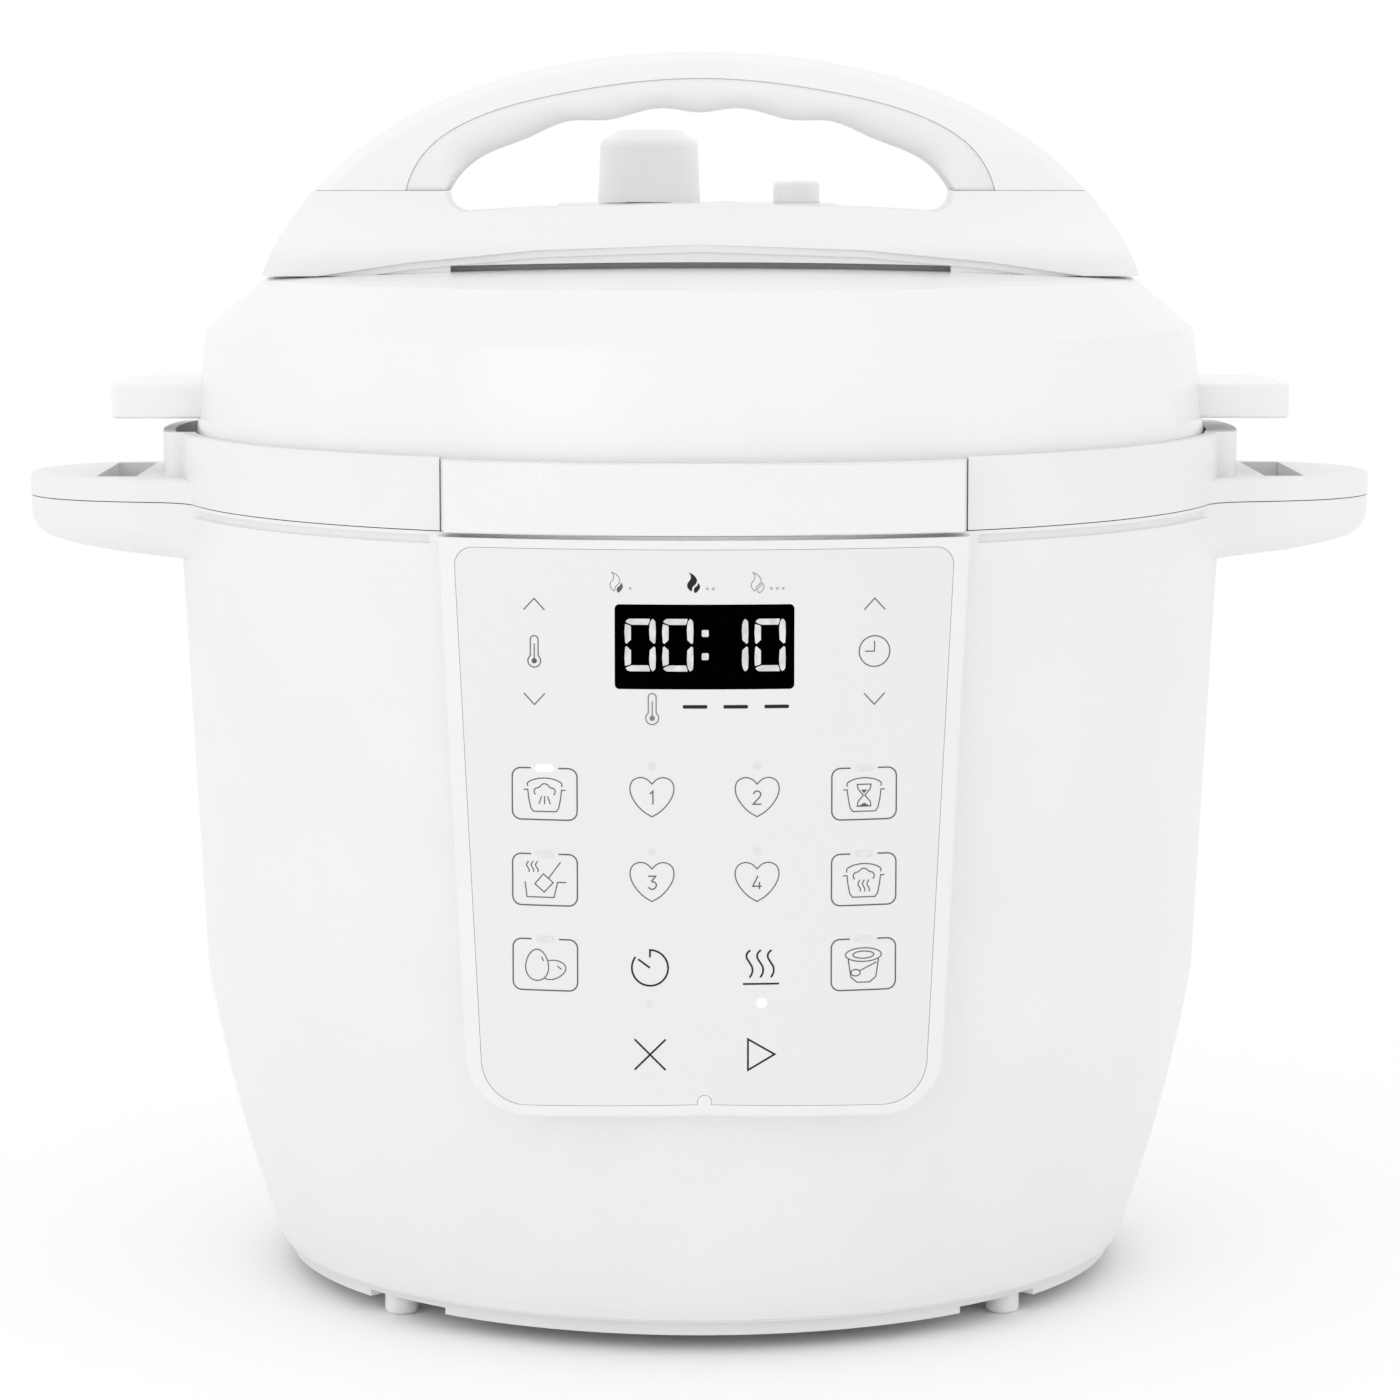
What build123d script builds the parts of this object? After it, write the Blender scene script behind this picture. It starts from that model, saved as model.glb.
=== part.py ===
from build123d import *
import math
import os

# Electric pressure cooker, 6-quart class. Millimetres.
# Origin: pot axis at floor level. +Z up, front panel towards -Y, side handles along X.

# ---- driving dimensions ----
handleSpan = 377.0          # across both side handles
floorGap = 4.6              # feet stand this far below the base ring
baseRingR = 117.0
footRadius = 110.0          # distance of the feet from the axis
footR = 4.5
frontFootAngle = 48.0       # from the front line, towards each side
notchTurn = 4.8             # the notches of the base ring sit this much nearer that line
housingBottomZ = 8.5
housingTopZ = 217.75
housingBottomR = 120.2
housingBreakR = 139.7       # where the taper meets the straighter wall
housingBreakZ = 85.2
housingTopR = 145.9
housingWall = 2.5

collarR = 146.0
collarBottomZ = 218.0
collarTopZ = 236.6
collarInnerR = 142.0
lobeR = 150.4               # bulge of the collar over each side handle
lobeHalfY = 29.0
lobeInnerR = 147.0

faceR = 200.0               # crown of the front fascia and name plate
faceY = -147.4              # front of the fascia at its centre
plateY = -148.0
plateHalfFront = 62.5
plateHalfBase = 67.2
fasciaTopZ = 216.9
fasciaBottomZ = 69.6
fasciaHalfTop = 67.6
fasciaHalfBottom = 60.6
filmHalfTop = 63.4
filmHalfBottom = 56.5
filmTopZ = 214.5
filmBottomZ = 72.9
edgeSag = 1.4               # lower edges dip towards their ends
windowHalfX = 22.65
windowBottomZ = 179.3
windowTopZ = 200.8
windowCornerR = 1.2
notchR = 1.9
openingHalfX = 54.0         # hole in the housing behind the fascia
openingBottomZ = 80.0
openingTopZ = 208.0

handleTopZ = 224.4
handlePlanEdge = [(134.0, 52.0), (138.6, 45.6), (142.0, 41.0), (147.0, 37.8), (154.0, 36.0), (162.0, 33.8),
                  (170.0, 30.4), (177.0, 25.4), (183.0, 18.4), (187.0, 9.6)]
slotInnerX = 156.0
slotOuterX = 167.0
slotHalfY = 27.5

potRimZ = 222.0
potBottomZ = 64.0
potInnerR = 111.0
potWall = 1.2
potRimR = 119.5

linerInnerR = 117.0
linerWall = 1.2
linerFlangeZ = 219.0
ringWallR = 128.0
ringTopZ = 236.0
lugCount = 6
lugAngle = 26.0
ringLugR = 124.5            # inner reach of the ring lugs
lidLugR = 124.1             # outer reach of the lid lugs

skirtBottomZ = 228.0
skirtR = 141.3
skirtLeanZ = 235.0          # the skirt leans inwards above this
shoulderR = 138.2
shoulderZ = 262.6
lidEdgeR = 121.4
lidEdgeZ = 278.5
lidCrownZ = 281.6
lidWall = 2.5

finX = 163.0
finHalfY = 25.0
finBottomZ = 240.2
finTopZ = 249.6

archTopZ = 340.8
archSeamZ = 302.8           # joint line between handle cover and bridge
archHalfY = 17.0
bridgeFootHalfY = 26.0
seamGap = 0.1               # visible joint lines between handle mouldings

deckTopZ = 298.5            # raised valve deck behind the handle
deckFrontY = 17.4
deckBackY = 74.0
deckLeftX = -41.5
deckRightX = 40.6

valveX = -14.4
valveY = 45.0
valveR = 14.8
valveTopZ = 319.6
buttonX = 28.3
buttonR = 6.7
buttonTopZ = 304.8
floatX = 8.0
floatY = 62.0

sensorR = 14.5
fit = 0.3                   # clearance between pieces that move apart

cupHalfX = 21.0
cupBottomZ = 152.0
cupTopZ = 186.0
cupFrontY = 148.0
pocketHalfX = 25.0
pocketBottomZ = 147.0
pocketTopZ = 204.0
pocketBackY = 127.5

inletZ = 36.0
inletHalfX = 14.0
inletHalfZ = 10.0

os.makedirs("parts", exist_ok=True)


def save(name, shape):
    export_step(shape, f"parts/{name}.step")


def group(shapes):
    return Compound(children=list(shapes))


def block(x0, x1, y0, y1, z0, z1):
    size = (x1 - x0, y1 - y0, z1 - z0)
    centre = ((x0 + x1) / 2, (y0 + y1) / 2, (z0 + z1) / 2)
    return Pos(*centre) * Box(*size)


def rod(x, y, r, z0, z1):
    return Pos(x, y, (z0 + z1) / 2) * Cylinder(r, z1 - z0)


def tube(x, y, rOut, rIn, z0, z1):
    return rod(x, y, rOut, z0, z1) - rod(x, y, rIn, z0 - 1, z1 + 1)


def turned(edges):
    """Full turn of a closed outline of (radius, z) edges about the pot axis."""
    face = make_face(edges)
    return revolve(face, Axis.Z)


def outline(points):
    """Closed straight-sided outline of (radius, z) points, turned about Z."""
    return turned(Polyline(*[(r, 0, z) for r, z in points], close=True))


def aroundZ(shape, angle):
    return Rot(0, 0, angle) * shape


def sideProfile(points, halfY):
    """Closed outline of (x, z) points, as a slab across Y."""
    face = make_face(Polyline(*[(x, 0, z) for x, z in points], close=True))
    return extrude(face, halfY, dir=(0, 1, 0), both=True)


def mirrored(shape):
    return mirror(shape, Plane.YZ)


# ---- outer housing ----

def fasciaOpening(inset):
    return block(-openingHalfX + inset, openingHalfX - inset, -160, -100,
                 openingBottomZ + inset, openingTopZ - inset)


def housingSolid(inset):
    """Filled shape of the housing, with its surface moved inwards by inset."""
    bottomZ = housingBottomZ if inset == 0 else housingBottomZ - 1
    topZ = housingTopZ if inset == 0 else housingTopZ + 1
    bowR = 131.7 - inset
    edges = Line((0, 0, bottomZ), (housingBottomR - inset - 2, 0, bottomZ))
    edges += Line((housingBottomR - inset - 2, 0, bottomZ), (housingBottomR - inset, 0, bottomZ + 0.9))
    edges += Line((housingBottomR - inset, 0, bottomZ + 0.9), (121.6 - inset, 0, 13.0))
    edges += ThreePointArc((121.6 - inset, 0, 13.0), (bowR, 0, 47.2), (housingBreakR - inset, 0, housingBreakZ))
    edges += Line((housingBreakR - inset, 0, housingBreakZ), (housingTopR - inset, 0, housingTopZ - 8))
    edges += Line((housingTopR - inset, 0, housingTopZ - 8), (housingTopR - inset, 0, topZ))
    edges += Line((housingTopR - inset, 0, topZ), (0, 0, topZ))
    edges += Line((0, 0, topZ), (0, 0, bottomZ))
    return turned(edges)


def handlePlan(reach):
    """Plan of one side handle along +X, flaring where it meets the round body."""
    near = [(x, -y) for x, y in handlePlanEdge]
    far = [(x, y) for x, y in reversed(handlePlanEdge)]
    curve = Spline(*(near + [(reach, 0)] + far))
    return make_face(Curve() + [curve, Line(far[-1], near[0])])


def handleLower():
    """Lower half of one side handle: a bowl that rises towards its tip."""
    body = extrude(Pos(0, 0, 198.0) * handlePlan(188.3), housingTopZ - 198.0)
    slope = sideProfile([(130, 190), (200, 190), (200, 209.6), (180, 206.2), (162, 203.8), (143, 202.0), (130, 201.3)], 60)
    body -= slope
    rim = [e for e in body.edges() if e.center().Z < 211 and e.center().X > 142 and e.length > 25]
    body = fillet(rim, 7.0)
    pocket = block(slotInnerX, slotOuterX, -slotHalfY, slotHalfY, 207.4, 230)
    return body - pocket


def outerHousing():
    skin = housingSolid(0) - housingSolid(housingWall)
    lip = tube(0, 0, housingBottomR - 1.0, 113.5, housingBottomZ, housingBottomZ + 2.0)
    skin += lip
    # shadow groove under the collar, interrupted at the fascia and at the handles
    groove = outline([(144.8, 214.7), (150, 213.9), (150, 217.1), (144.8, 216.7)])
    frontCut = block(-70, 70, -160, -100, 210, 220)
    sideCut = block(-200, 200, -46, 46, 210, 220)
    skin -= groove - frontCut - sideCut
    lower = handleLower() - housingSolid(housingWall)
    skin += lower
    skin += mirrored(lower)
    # opening behind the fascia for the control board and display
    skin -= fasciaOpening(0)
    # opening for the condensation cup pocket and for the mains inlet
    skin -= block(-pocketHalfX, pocketHalfX, 110, 160, pocketBottomZ, pocketTopZ)
    skin -= block(-inletHalfX, inletHalfX, 100, 150, inletZ - inletHalfZ, inletZ + inletHalfZ)
    return skin


# ---- collar with its handle tops and name plate ----

def faceSlab(frontY, depth, halfX, z0, z1):
    """Slab with a crowned front face, a plain rectangle seen from the front."""
    crown = rod(0, frontY + faceR, faceR, z0, z1)
    if depth < 50:
        crown -= rod(0, frontY + faceR, faceR - depth, z0 - 1, z1 + 1)
    return crown & block(-halfX, halfX, frontY - 1, frontY + 60, z0, z1)


def shield(halfTop, halfBottom, z0, z1, cornerTop, cornerBottom):
    """Rounded tapered panel outline seen from the front, as a thick slab across Y."""
    points = [(-halfBottom, z0 - edgeSag), (0, z0), (halfBottom, z0 - edgeSag), (halfTop, z1), (-halfTop, z1)]
    face = make_face(Polyline(*[(x, 0, z) for x, z in points], close=True))
    low = [v for v in face.vertices() if v.Z < z0 + 1 and abs(v.X) > 1]
    face = fillet(low, cornerBottom)
    if cornerTop > 0:
        high = [v for v in face.vertices() if v.Z > z1 - 1]
        face = fillet(high, cornerTop)
    return Pos(0, -100, 0) * extrude(face, 60, dir=(0, -1, 0))


def lobeVoid():
    """Pocket between the lid skirt and the bulged collar wall over one handle."""
    ring = tube(0, 0, lobeInnerR, 139.0, 226.0, 240.0)
    return ring & block(100, 200, -lobeHalfY + 3.2, lobeHalfY - 3.2, 200, 250)


def lobe():
    """Bulge of the collar wall above one side handle."""
    bulge = tube(0, 0, lobeR, collarInnerR, handleTopZ - 4, collarTopZ)
    bulge = bulge & block(100, 200, -lobeHalfY, lobeHalfY, 200, 250)
    corners = [e for e in bulge.edges() if e.center().X > 140 and abs(abs(e.center().Y) - lobeHalfY) < 0.6
               and abs(e.center().Z - (handleTopZ - 4 + collarTopZ) / 2) < 0.5 and e.center().X > 146]
    return fillet(corners, 3.0) if corners else bulge


def handleUpper():
    """Upper half of one side handle, with the slot that parks the lid fin."""
    plan = Pos(0, 0, collarBottomZ) * handlePlan(handleSpan / 2)
    body = extrude(plan, handleTopZ - collarBottomZ)
    rim = [e for e in body.edges() if e.center().Z > handleTopZ - 0.1 and e.center().X > 142]
    body = fillet(rim, 1.8)
    slot = block(slotInnerX, slotOuterX, -slotHalfY, slotHalfY, 200, 230)
    body -= rod(0, 0, collarInnerR + 0.4, 200, 250)
    return body - slot


def topCollar():
    band = outline([(collarInnerR, 220.4), (collarR - 0.8, 220.4), (collarR - 0.8, collarBottomZ),
                    (collarR, collarBottomZ), (collarR, collarTopZ - 0.6), (collarR - 0.6, collarTopZ),
                    (collarInnerR + 0.5, collarTopZ), (collarInnerR, collarTopZ - 0.5)])
    trough = outline([(131.2, 220.4), (144.0, 220.4), (144.0, 222.6), (133.2, 222.6),
                      (133.2, 232.0), (131.2, 232.0)])
    side = lobe() + handleUpper()
    hollow = lobeVoid()
    collar = band + side + mirrored(side)
    collar = collar - hollow - mirrored(hollow)
    collar += trough
    seat = block(-plateHalfBase - 0.08, plateHalfBase + 0.08, -160, -100, 210.0, 240.0)
    seat -= rod(0, 0, 143.6, 200, 250)
    return collar - seat


def namePlate():
    """Blank plate on the front of the band, with drafted ends."""
    slab = faceSlab(plateY, 60, 90, collarBottomZ, 236.2)
    plan = make_face(Polyline((-plateHalfFront, -160), (plateHalfFront, -160), (plateHalfBase, -128),
                              (plateHalfBase, -110), (-plateHalfBase, -110), (-plateHalfBase, -128), close=True))
    plate = slab & extrude(Pos(0, 0, 210) * plan, 30)
    plate -= rod(0, 0, 143.7, 200, 250)
    front = [e for e in plate.edges() if e.center().Y < plateY + 3 and abs(e.center().X) < 2]
    return fillet(front, 0.5)


# ---- front fascia, film, window, boards ----

def controlFascia():
    body = faceSlab(faceY, 60, 90, 40, fasciaTopZ)
    body &= shield(fasciaHalfTop, fasciaHalfBottom, fasciaBottomZ, fasciaTopZ, 0, 15.5)
    front = [e for e in body.edges() if e.center().Y < -132 and e.center().Z < fasciaTopZ - 1
             and e.center().Y < faceY + 13.5]
    body = fillet(front, 1.2)
    body -= housingSolid(0) - fasciaOpening(0.2)
    hollow = faceSlab(faceY + 2.6, 60, 90, 40, fasciaTopZ - 2.4)
    hollow &= shield(fasciaHalfTop - 2.8, fasciaHalfBottom - 2.8, fasciaBottomZ + 2.8, fasciaTopZ - 2.4, 3, 12.5)
    body -= hollow
    body -= filmShape(0.55, -0.12) - notchTab(notchR - 0.12)
    return body - windowShape(windowHalfX + 0.1, windowBottomZ - 0.1, windowTopZ + 0.1, -160, -130)


def notchTab(r):
    """Tab of the fascia that locates the film at the middle of its lower edge."""
    return Pos(0, -140, filmBottomZ + 0.5) * Rot(90, 0, 0) * Cylinder(r, 40)


def windowShape(halfX, z0, z1, y0, y1):
    """Round-cornered window outline, as a slab across Y."""
    slab = block(-halfX, halfX, y0, y1, z0, z1)
    return fillet(slab.edges().filter_by(Axis.Y), windowCornerR)


def filmShape(depth, shrink):
    """Touch film: crowned, tapered, with round corners."""
    slab = faceSlab(faceY - 0.02, depth, 90, 40, fasciaTopZ)
    return slab & shield(filmHalfTop - shrink, filmHalfBottom - shrink, filmBottomZ + shrink,
                         filmTopZ - shrink, 4.6, 11.4)


def panelOverlay():
    film = filmShape(0.5, 0)
    window = windowShape(windowHalfX, windowBottomZ, windowTopZ, -160, -130)
    return film - notchTab(notchR) - window


def displayWindow():
    lens = faceSlab(faceY - 0.02, 1.6, windowHalfX, windowBottomZ, windowTopZ)
    return lens & windowShape(windowHalfX - 0.05, windowBottomZ + 0.05, windowTopZ - 0.05, -160, -130)


boardFrontY = -137.6
boardThick = 1.6


def displayModule():
    return block(-windowHalfX + 0.6, windowHalfX - 0.6, -143.6, boardFrontY, windowBottomZ + 0.6, windowTopZ - 0.6)


def controlBoard():
    board = block(-50, 50, boardFrontY, boardFrontY + boardThick, 84, 204)
    for x in (-46, 46):
        for z in (88, 200):
            board -= Pos(x, boardFrontY, z) * Rot(90, 0, 0) * Cylinder(1.6, 10)
    chips = [block(-14, 10, boardFrontY + boardThick, boardFrontY + 4, 120, 144),
             block(20, 34, boardFrontY + boardThick, boardFrontY + 5.5, 100, 112),
             block(-40, -30, boardFrontY + boardThick, boardFrontY + 4.5, 150, 176)]
    for chip in chips:
        board += chip
    return board


# ---- heating and structure inside the housing ----

def innerLiner():
    r = linerInnerR
    w = linerWall
    return outline([(92, 50), (r + w, 50), (r + w, linerFlangeZ), (130.6, linerFlangeZ),
                    (130.6, linerFlangeZ + w), (r, linerFlangeZ + w), (r, 50 + w), (92, 50 + w)])


def lug(rIn, rOut, z0, z1, angle):
    """One bayonet lug: a short sector of a ring, centred on the given angle."""
    ring = tube(0, 0, rOut, rIn, z0, z1)
    a = math.radians(lugAngle / 2)
    far = 160.0
    wedge = make_face(Polyline((0, 0), (far * math.cos(a), -far * math.sin(a)),
                               (far * math.cos(a), far * math.sin(a)), close=True))
    return aroundZ(ring & extrude(Pos(0, 0, z0) * wedge, z1 - z0), angle)


def lugs(rIn, rOut, z0, z1):
    return [lug(rIn, rOut, z0, z1, 30 + k * 360 / lugCount) for k in range(lugCount)]


def lockingRing():
    ring = outline([(ringWallR, linerFlangeZ + linerWall), (130.6, linerFlangeZ + linerWall),
                    (130.6, ringTopZ - 1.5), (129.1, ringTopZ), (ringWallR, ringTopZ)])
    for tooth in lugs(ringLugR, ringWallR + 0.4, 229.3, 231.6):
        ring += tooth
    return ring


def heatingPlate():
    plate = outline([(sensorR + 1.2, 56.0), (90, 56.0), (90, 60.5), (86, 63.2), (70, 63.7), (sensorR + 1.2, 63.7)])
    return plate


def heatingElement():
    coil = Pos(0, 0, 51.8) * Torus(70, 4.2)
    gap = aroundZ(block(60, 80, -9, 9, 40, 60), 180)
    coil -= gap
    for y in (-9, 9):
        coil += rod(-69.3, y, 2.6, 36, 52)
    return coil


def heaterBracket():
    ring = outline([(80, 45.0), (96, 45.0), (96, 46.2), (80, 46.2)])
    for k in range(3):
        ring += aroundZ(rod(86, 0, 3.2, 46.2, 56.0) + rod(94, 0, 1.6, 46.2, 50.0), 60 + 120 * k)
    return ring


def tempSensor():
    puck = rod(0, 0, sensorR, 60.2, 63.75)
    puck += tube(0, 0, sensorR - 1.5, sensorR - 3.0, 50.0, 60.2)
    puck += rod(0, 0, 3.0, 46.8, 60.2)
    return puck


def sensorGuide():
    """Cup that the sensor slides in, hung from the heater bracket by two arms."""
    cup = tube(0, 0, 16.4, 14.4, 44.0, 55.6)
    cup += rod(0, 0, 16.4, 38.4, 40.0) + tube(0, 0, 16.4, 14.4, 40.0, 44.0)
    arm = block(15.5, 84, -5, 5, 43.6, 45.0)
    return cup + arm + aroundZ(arm, 180)


def spring(x, y, radius, wire, z0, z1, turns):
    """Compression spring with round wire, standing on z0 and reaching z1."""
    height = z1 - z0 - 2 * wire
    path = Helix(height / turns, height, radius)
    section = Plane(path @ 0, z_dir=path % 0) * Circle(wire)
    coil = sweep(section, path, is_frenet=True)
    return Pos(x, y, z0 + wire) * coil


def thermalFuse():
    fuse = Pos(-40, 30, 53.2) * Rot(0, 90, 0) * Cylinder(2.6, 14)
    return fuse


def pressureSwitch():
    body = block(44, 64, -6, 6, 35.0, 43.6)
    return body + block(56, 58, -2, 2, 33.0, 35.0)


def powerBoard():
    board = block(-62, 26, -48, 34, 18.0, 19.6)
    for x in (-58, 22):
        for y in (-44, 30):
            board -= rod(x, y, 1.7, 10, 30)
    return board


def boardParts():
    relay = block(-55, -35, -34, -16, 19.6, 33.6)
    transformer = block(-24, 2, -38, -10, 19.6, 34.6)
    capacitor = rod(14, -28, 7.0, 19.6, 35.6)
    fuseBox = block(-50, -26, 6, 16, 19.6, 28.6)
    connector = block(4, 22, 8, 16, 19.6, 29.6)
    return group([relay, transformer, capacitor, fuseBox, connector])


def boardPosts():
    posts = []
    for x in (-58, 22):
        for y in (-44, 30):
            posts.append(rod(x, y, 3.6, 8.4, 18.0))
    return posts


def tubeAlong(points, radii, r):
    path = FilletPolyline(*points, radius=radii)
    section = Plane(path @ 0, z_dir=path % 0) * Circle(r)
    return sweep(section, path)


def wiringHarness():
    mains = tubeAlong([(7, 97.8, 34), (8, 82, 34), (10, 62, 32), (13, 36, 30), (13, 16.4, 27)], 9, 1.8)
    signal = tubeAlong([(-10, -50.2, 19), (-10, -72, 22), (-6, -102, 30), (-4, -119, 41),
                        (-2, -126, 59), (0, -129.6, 84), (0, -131.2, 112)], 9, 1.8)
    return group([mains, signal])


# ---- mains inlet and condensation cup ----

def powerInlet():
    shell = block(-inletHalfX + 0.2, inletHalfX - 0.2, 103, 128.2, inletZ - inletHalfZ + 0.2, inletZ + inletHalfZ - 0.2)
    flange = block(-inletHalfX - 3.5, inletHalfX + 3.5, 119.2, 121.6, inletZ - inletHalfZ - 2.0, inletZ + inletHalfZ + 2.5)
    shell += flange & housingSolid(housingWall + 0.1)
    cavity = block(-inletHalfX + 2.2, inletHalfX - 2.2, 110, 140, inletZ - inletHalfZ + 2.2, inletZ + inletHalfZ - 2.2)
    shell = (shell - cavity) & rod(0, 0, 129.0, 0, 100)
    for pin in inletPinShapes():
        shell -= pin
    return shell


def inletPinShapes():
    spots = ((-7, inletZ - 2), (7, inletZ - 2), (0, inletZ + 2))
    return [block(x - 1.0, x + 1.0, 98, 123, z - 2.0, z + 2.0) for x, z in spots]


def inletPins():
    return group(inletPinShapes())


def cupPocket():
    """Open-backed moulded pocket in the housing that carries the condensation cup."""
    x = pocketHalfX - 0.2
    outer = block(-x, x, pocketBackY - 2, 150, pocketBottomZ + 0.2, pocketTopZ - 0.2)
    hollow = block(-x + 1.8, x - 1.8, pocketBackY, 160, pocketBottomZ + 2.0, pocketTopZ - 2.0)
    body = (outer - hollow) & rod(0, 0, 142.8, 100, 230)
    for side in (-1, 1):
        x0, x1 = sorted((side * (x - 1.9), side * (cupHalfX + 0.6)))
        body += block(x0, x1, pocketBackY, 138, cupTopZ - 7.5, cupTopZ - 5.5)
    return body


def condensationCup():
    body = block(-cupHalfX, cupHalfX, pocketBackY + 0.6, cupFrontY, cupBottomZ, cupTopZ)
    upright = [e for e in body.edges().filter_by(Axis.Z)]
    body = fillet(upright, 4.0)
    body = fillet([e for e in body.edges() if e.center().Z < cupBottomZ + 0.1], 2.5)
    hollow = block(-cupHalfX + 1.6, cupHalfX - 1.6, pocketBackY + 2.2, cupFrontY - 1.6, cupBottomZ + 1.6, cupTopZ + 1)
    hollow = fillet(hollow.edges().filter_by(Axis.Z), 2.6)
    body -= hollow
    for side in (-1, 1):
        x0, x1 = sorted((side * (cupHalfX - 0.4), side * (cupHalfX + 1.7)))
        body += block(x0, x1, pocketBackY + 4, 140, cupTopZ - 4.9, cupTopZ - 3.3)
    return body


# ---- base ----

def bottomCover():
    plate = outline([(0, 6.4), (108.0, 6.4), (108.0, floorGap), (baseRingR, floorGap), (baseRingR, 8.2),
                     (113.2, 8.2), (113.2, 11.0), (111.4, 11.0), (111.4, 8.4), (0, 8.4)])
    for post in boardPosts():
        plate += post
    for k in range(4):
        notch = block(100, 120, -14.5, 14.5, 0, 6.4)
        plate -= aroundZ(notch, fourAngles(frontFootAngle - notchTurn)[k])
    for x, y in ringOf(4, 98, 0):
        plate -= rod(x, y, 1.6, 0, 12)
    for k in range(-4, 5):
        plate -= block(-34 + abs(k) * 3, 34 - abs(k) * 3, 60 + k * 7 - 1.6, 60 + k * 7 + 1.6, 0, 12)
    return plate


def fourAngles(offset):
    """Angles about Z of four spots, each the same angle away from the front or back line."""
    return (-90 - offset, -90 + offset, 90 - offset, 90 + offset)


def foot(k):
    pad = rod(footRadius, 0, footR, 0, 6.4)
    pad = fillet([e for e in pad.edges() if e.center().Z < 0.1], 1.2)
    return aroundZ(pad, fourAngles(frontFootAngle)[k])


def screw(x, y, headR, headZ, headH, shankR, shankZ):
    """Pan-head screw, head below and shank above, with a cross recess."""
    body = rod(x, y, headR, headZ, headZ + headH) + rod(x, y, shankR, headZ + headH, shankZ)
    body -= block(x - headR * 0.6, x + headR * 0.6, y - 0.4, y + 0.4, headZ - 1, headZ + headH * 0.5)
    return body - block(x - 0.4, x + 0.4, y - headR * 0.6, y + headR * 0.6, headZ - 1, headZ + headH * 0.5)


def ringOf(count, radius, start):
    spots = []
    for k in range(count):
        a = math.radians(start + 360 / count * k)
        spots.append((radius * math.cos(a), radius * math.sin(a)))
    return spots


def bottomScrews():
    return group([screw(x, y, 3.4, 4.0, 2.4, 1.5, 15.0) for x, y in ringOf(4, 98, 0)])


# ---- pot ----

def innerPot():
    r = potInnerR
    w = potWall
    edges = Polyline((0, 0, potBottomZ), (r + w - 8, 0, potBottomZ))
    edges += Line((r + w - 8, 0, potBottomZ), (r + w, 0, potBottomZ + 8))
    edges += Polyline((r + w, 0, potBottomZ + 8), (r + w, 0, potRimZ - 1.4), (potRimR, 0, potRimZ - 1.4),
                      (potRimR, 0, potRimZ), (r + 1, 0, potRimZ), (r, 0, potRimZ - 1.4), (r, 0, potBottomZ + 9),
                      (r - 8, 0, potBottomZ + w + 0.4), (0, 0, potBottomZ + w + 0.4), (0, 0, potBottomZ))
    return turned(edges)


def sealingRing():
    """Silicone ring: a soft channel whose lips face the pot rim."""
    return outline([(112.6, potRimZ + fit), (119.8, potRimZ + fit), (120.2, 226.0), (120.2, 231.5),
                    (118.6, 233.0), (115.0, 233.0), (114.4, 230.0), (116.6, 227.6), (116.6, 225.6), (112.6, 224.0)])


# ---- lid ----

def lidSolid(inset):
    """Filled shape of the lid cover, with its surface moved inwards by inset."""
    low = skirtBottomZ if inset == 0 else skirtBottomZ - 1
    footR = skirtR - inset
    shoulder = (shoulderR - 0.1 - inset, shoulderZ + 1.8 - inset * 0.4)
    edge = (lidEdgeR - inset * 0.35, lidEdgeZ - inset)
    crown = (0, lidCrownZ - inset)
    rise = crown[1] - edge[1]
    domeR = (edge[0] ** 2 + rise ** 2) / (2 * rise)
    mid = (62, crown[1] - domeR + math.sqrt(domeR ** 2 - 62 ** 2))
    edges = Polyline((0, 0, low), (footR, 0, low), (footR, 0, skirtLeanZ), (shoulder[0], 0, shoulder[1]),
                     (edge[0], 0, edge[1]))
    edges += ThreePointArc((edge[0], 0, edge[1]), (mid[0], 0, mid[1]), (crown[0], 0, crown[1]))
    edges += Line((0, 0, crown[1]), (0, 0, low))
    face = make_face(edges)
    for corner, radius in ((shoulder, 3.0), (edge, 1.6)):
        spot = [v for v in face.vertices() if abs(v.X - corner[0]) + abs(v.Z - corner[1]) < 0.01]
        face = fillet(spot, radius)
    return revolve(face, Axis.Z)


def lidFin():
    """Side fin of the lid: the tab that parks in a handle slot."""
    fin = block(136.0, finX, -finHalfY, finHalfY, finBottomZ, finTopZ)
    back = [e for e in fin.edges().filter_by(Axis.Z) if e.center().X > 150 and e.center().Y > 0]
    fin = chamfer(back, 6.5)
    corners = [e for e in fin.edges().filter_by(Axis.Z) if e.center().X > 150]
    fin = fillet(corners, 2.0)
    rim = [e for e in fin.edges() if e.center().X > 137 and
           (abs(e.center().Z - finTopZ) < 0.05 or abs(e.center().Z - finBottomZ) < 0.05)]
    return fillet(rim, 0.9)


def lidCover():
    body = lidSolid(0) - lidSolid(lidWall)
    fin = lidFin() - lidSolid(lidWall)
    body += fin
    body += mirrored(fin)
    # bosses down to the steel lid
    for x, y in ringOf(3, 78, 30):
        body += rod(x, y, 5.0, 252.0, lidCrownZ - 2.2)
        body -= rod(x, y, 1.5, 240.0, 266.0)
    for x in handleScrewX:
        body -= rod(x, 0, 1.45, 270, 290)
    body -= rod(valveX, valveY, 5.0, 260, 290)
    return body - rod(floatX, floatY, 3.8, 260, 290)


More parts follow.
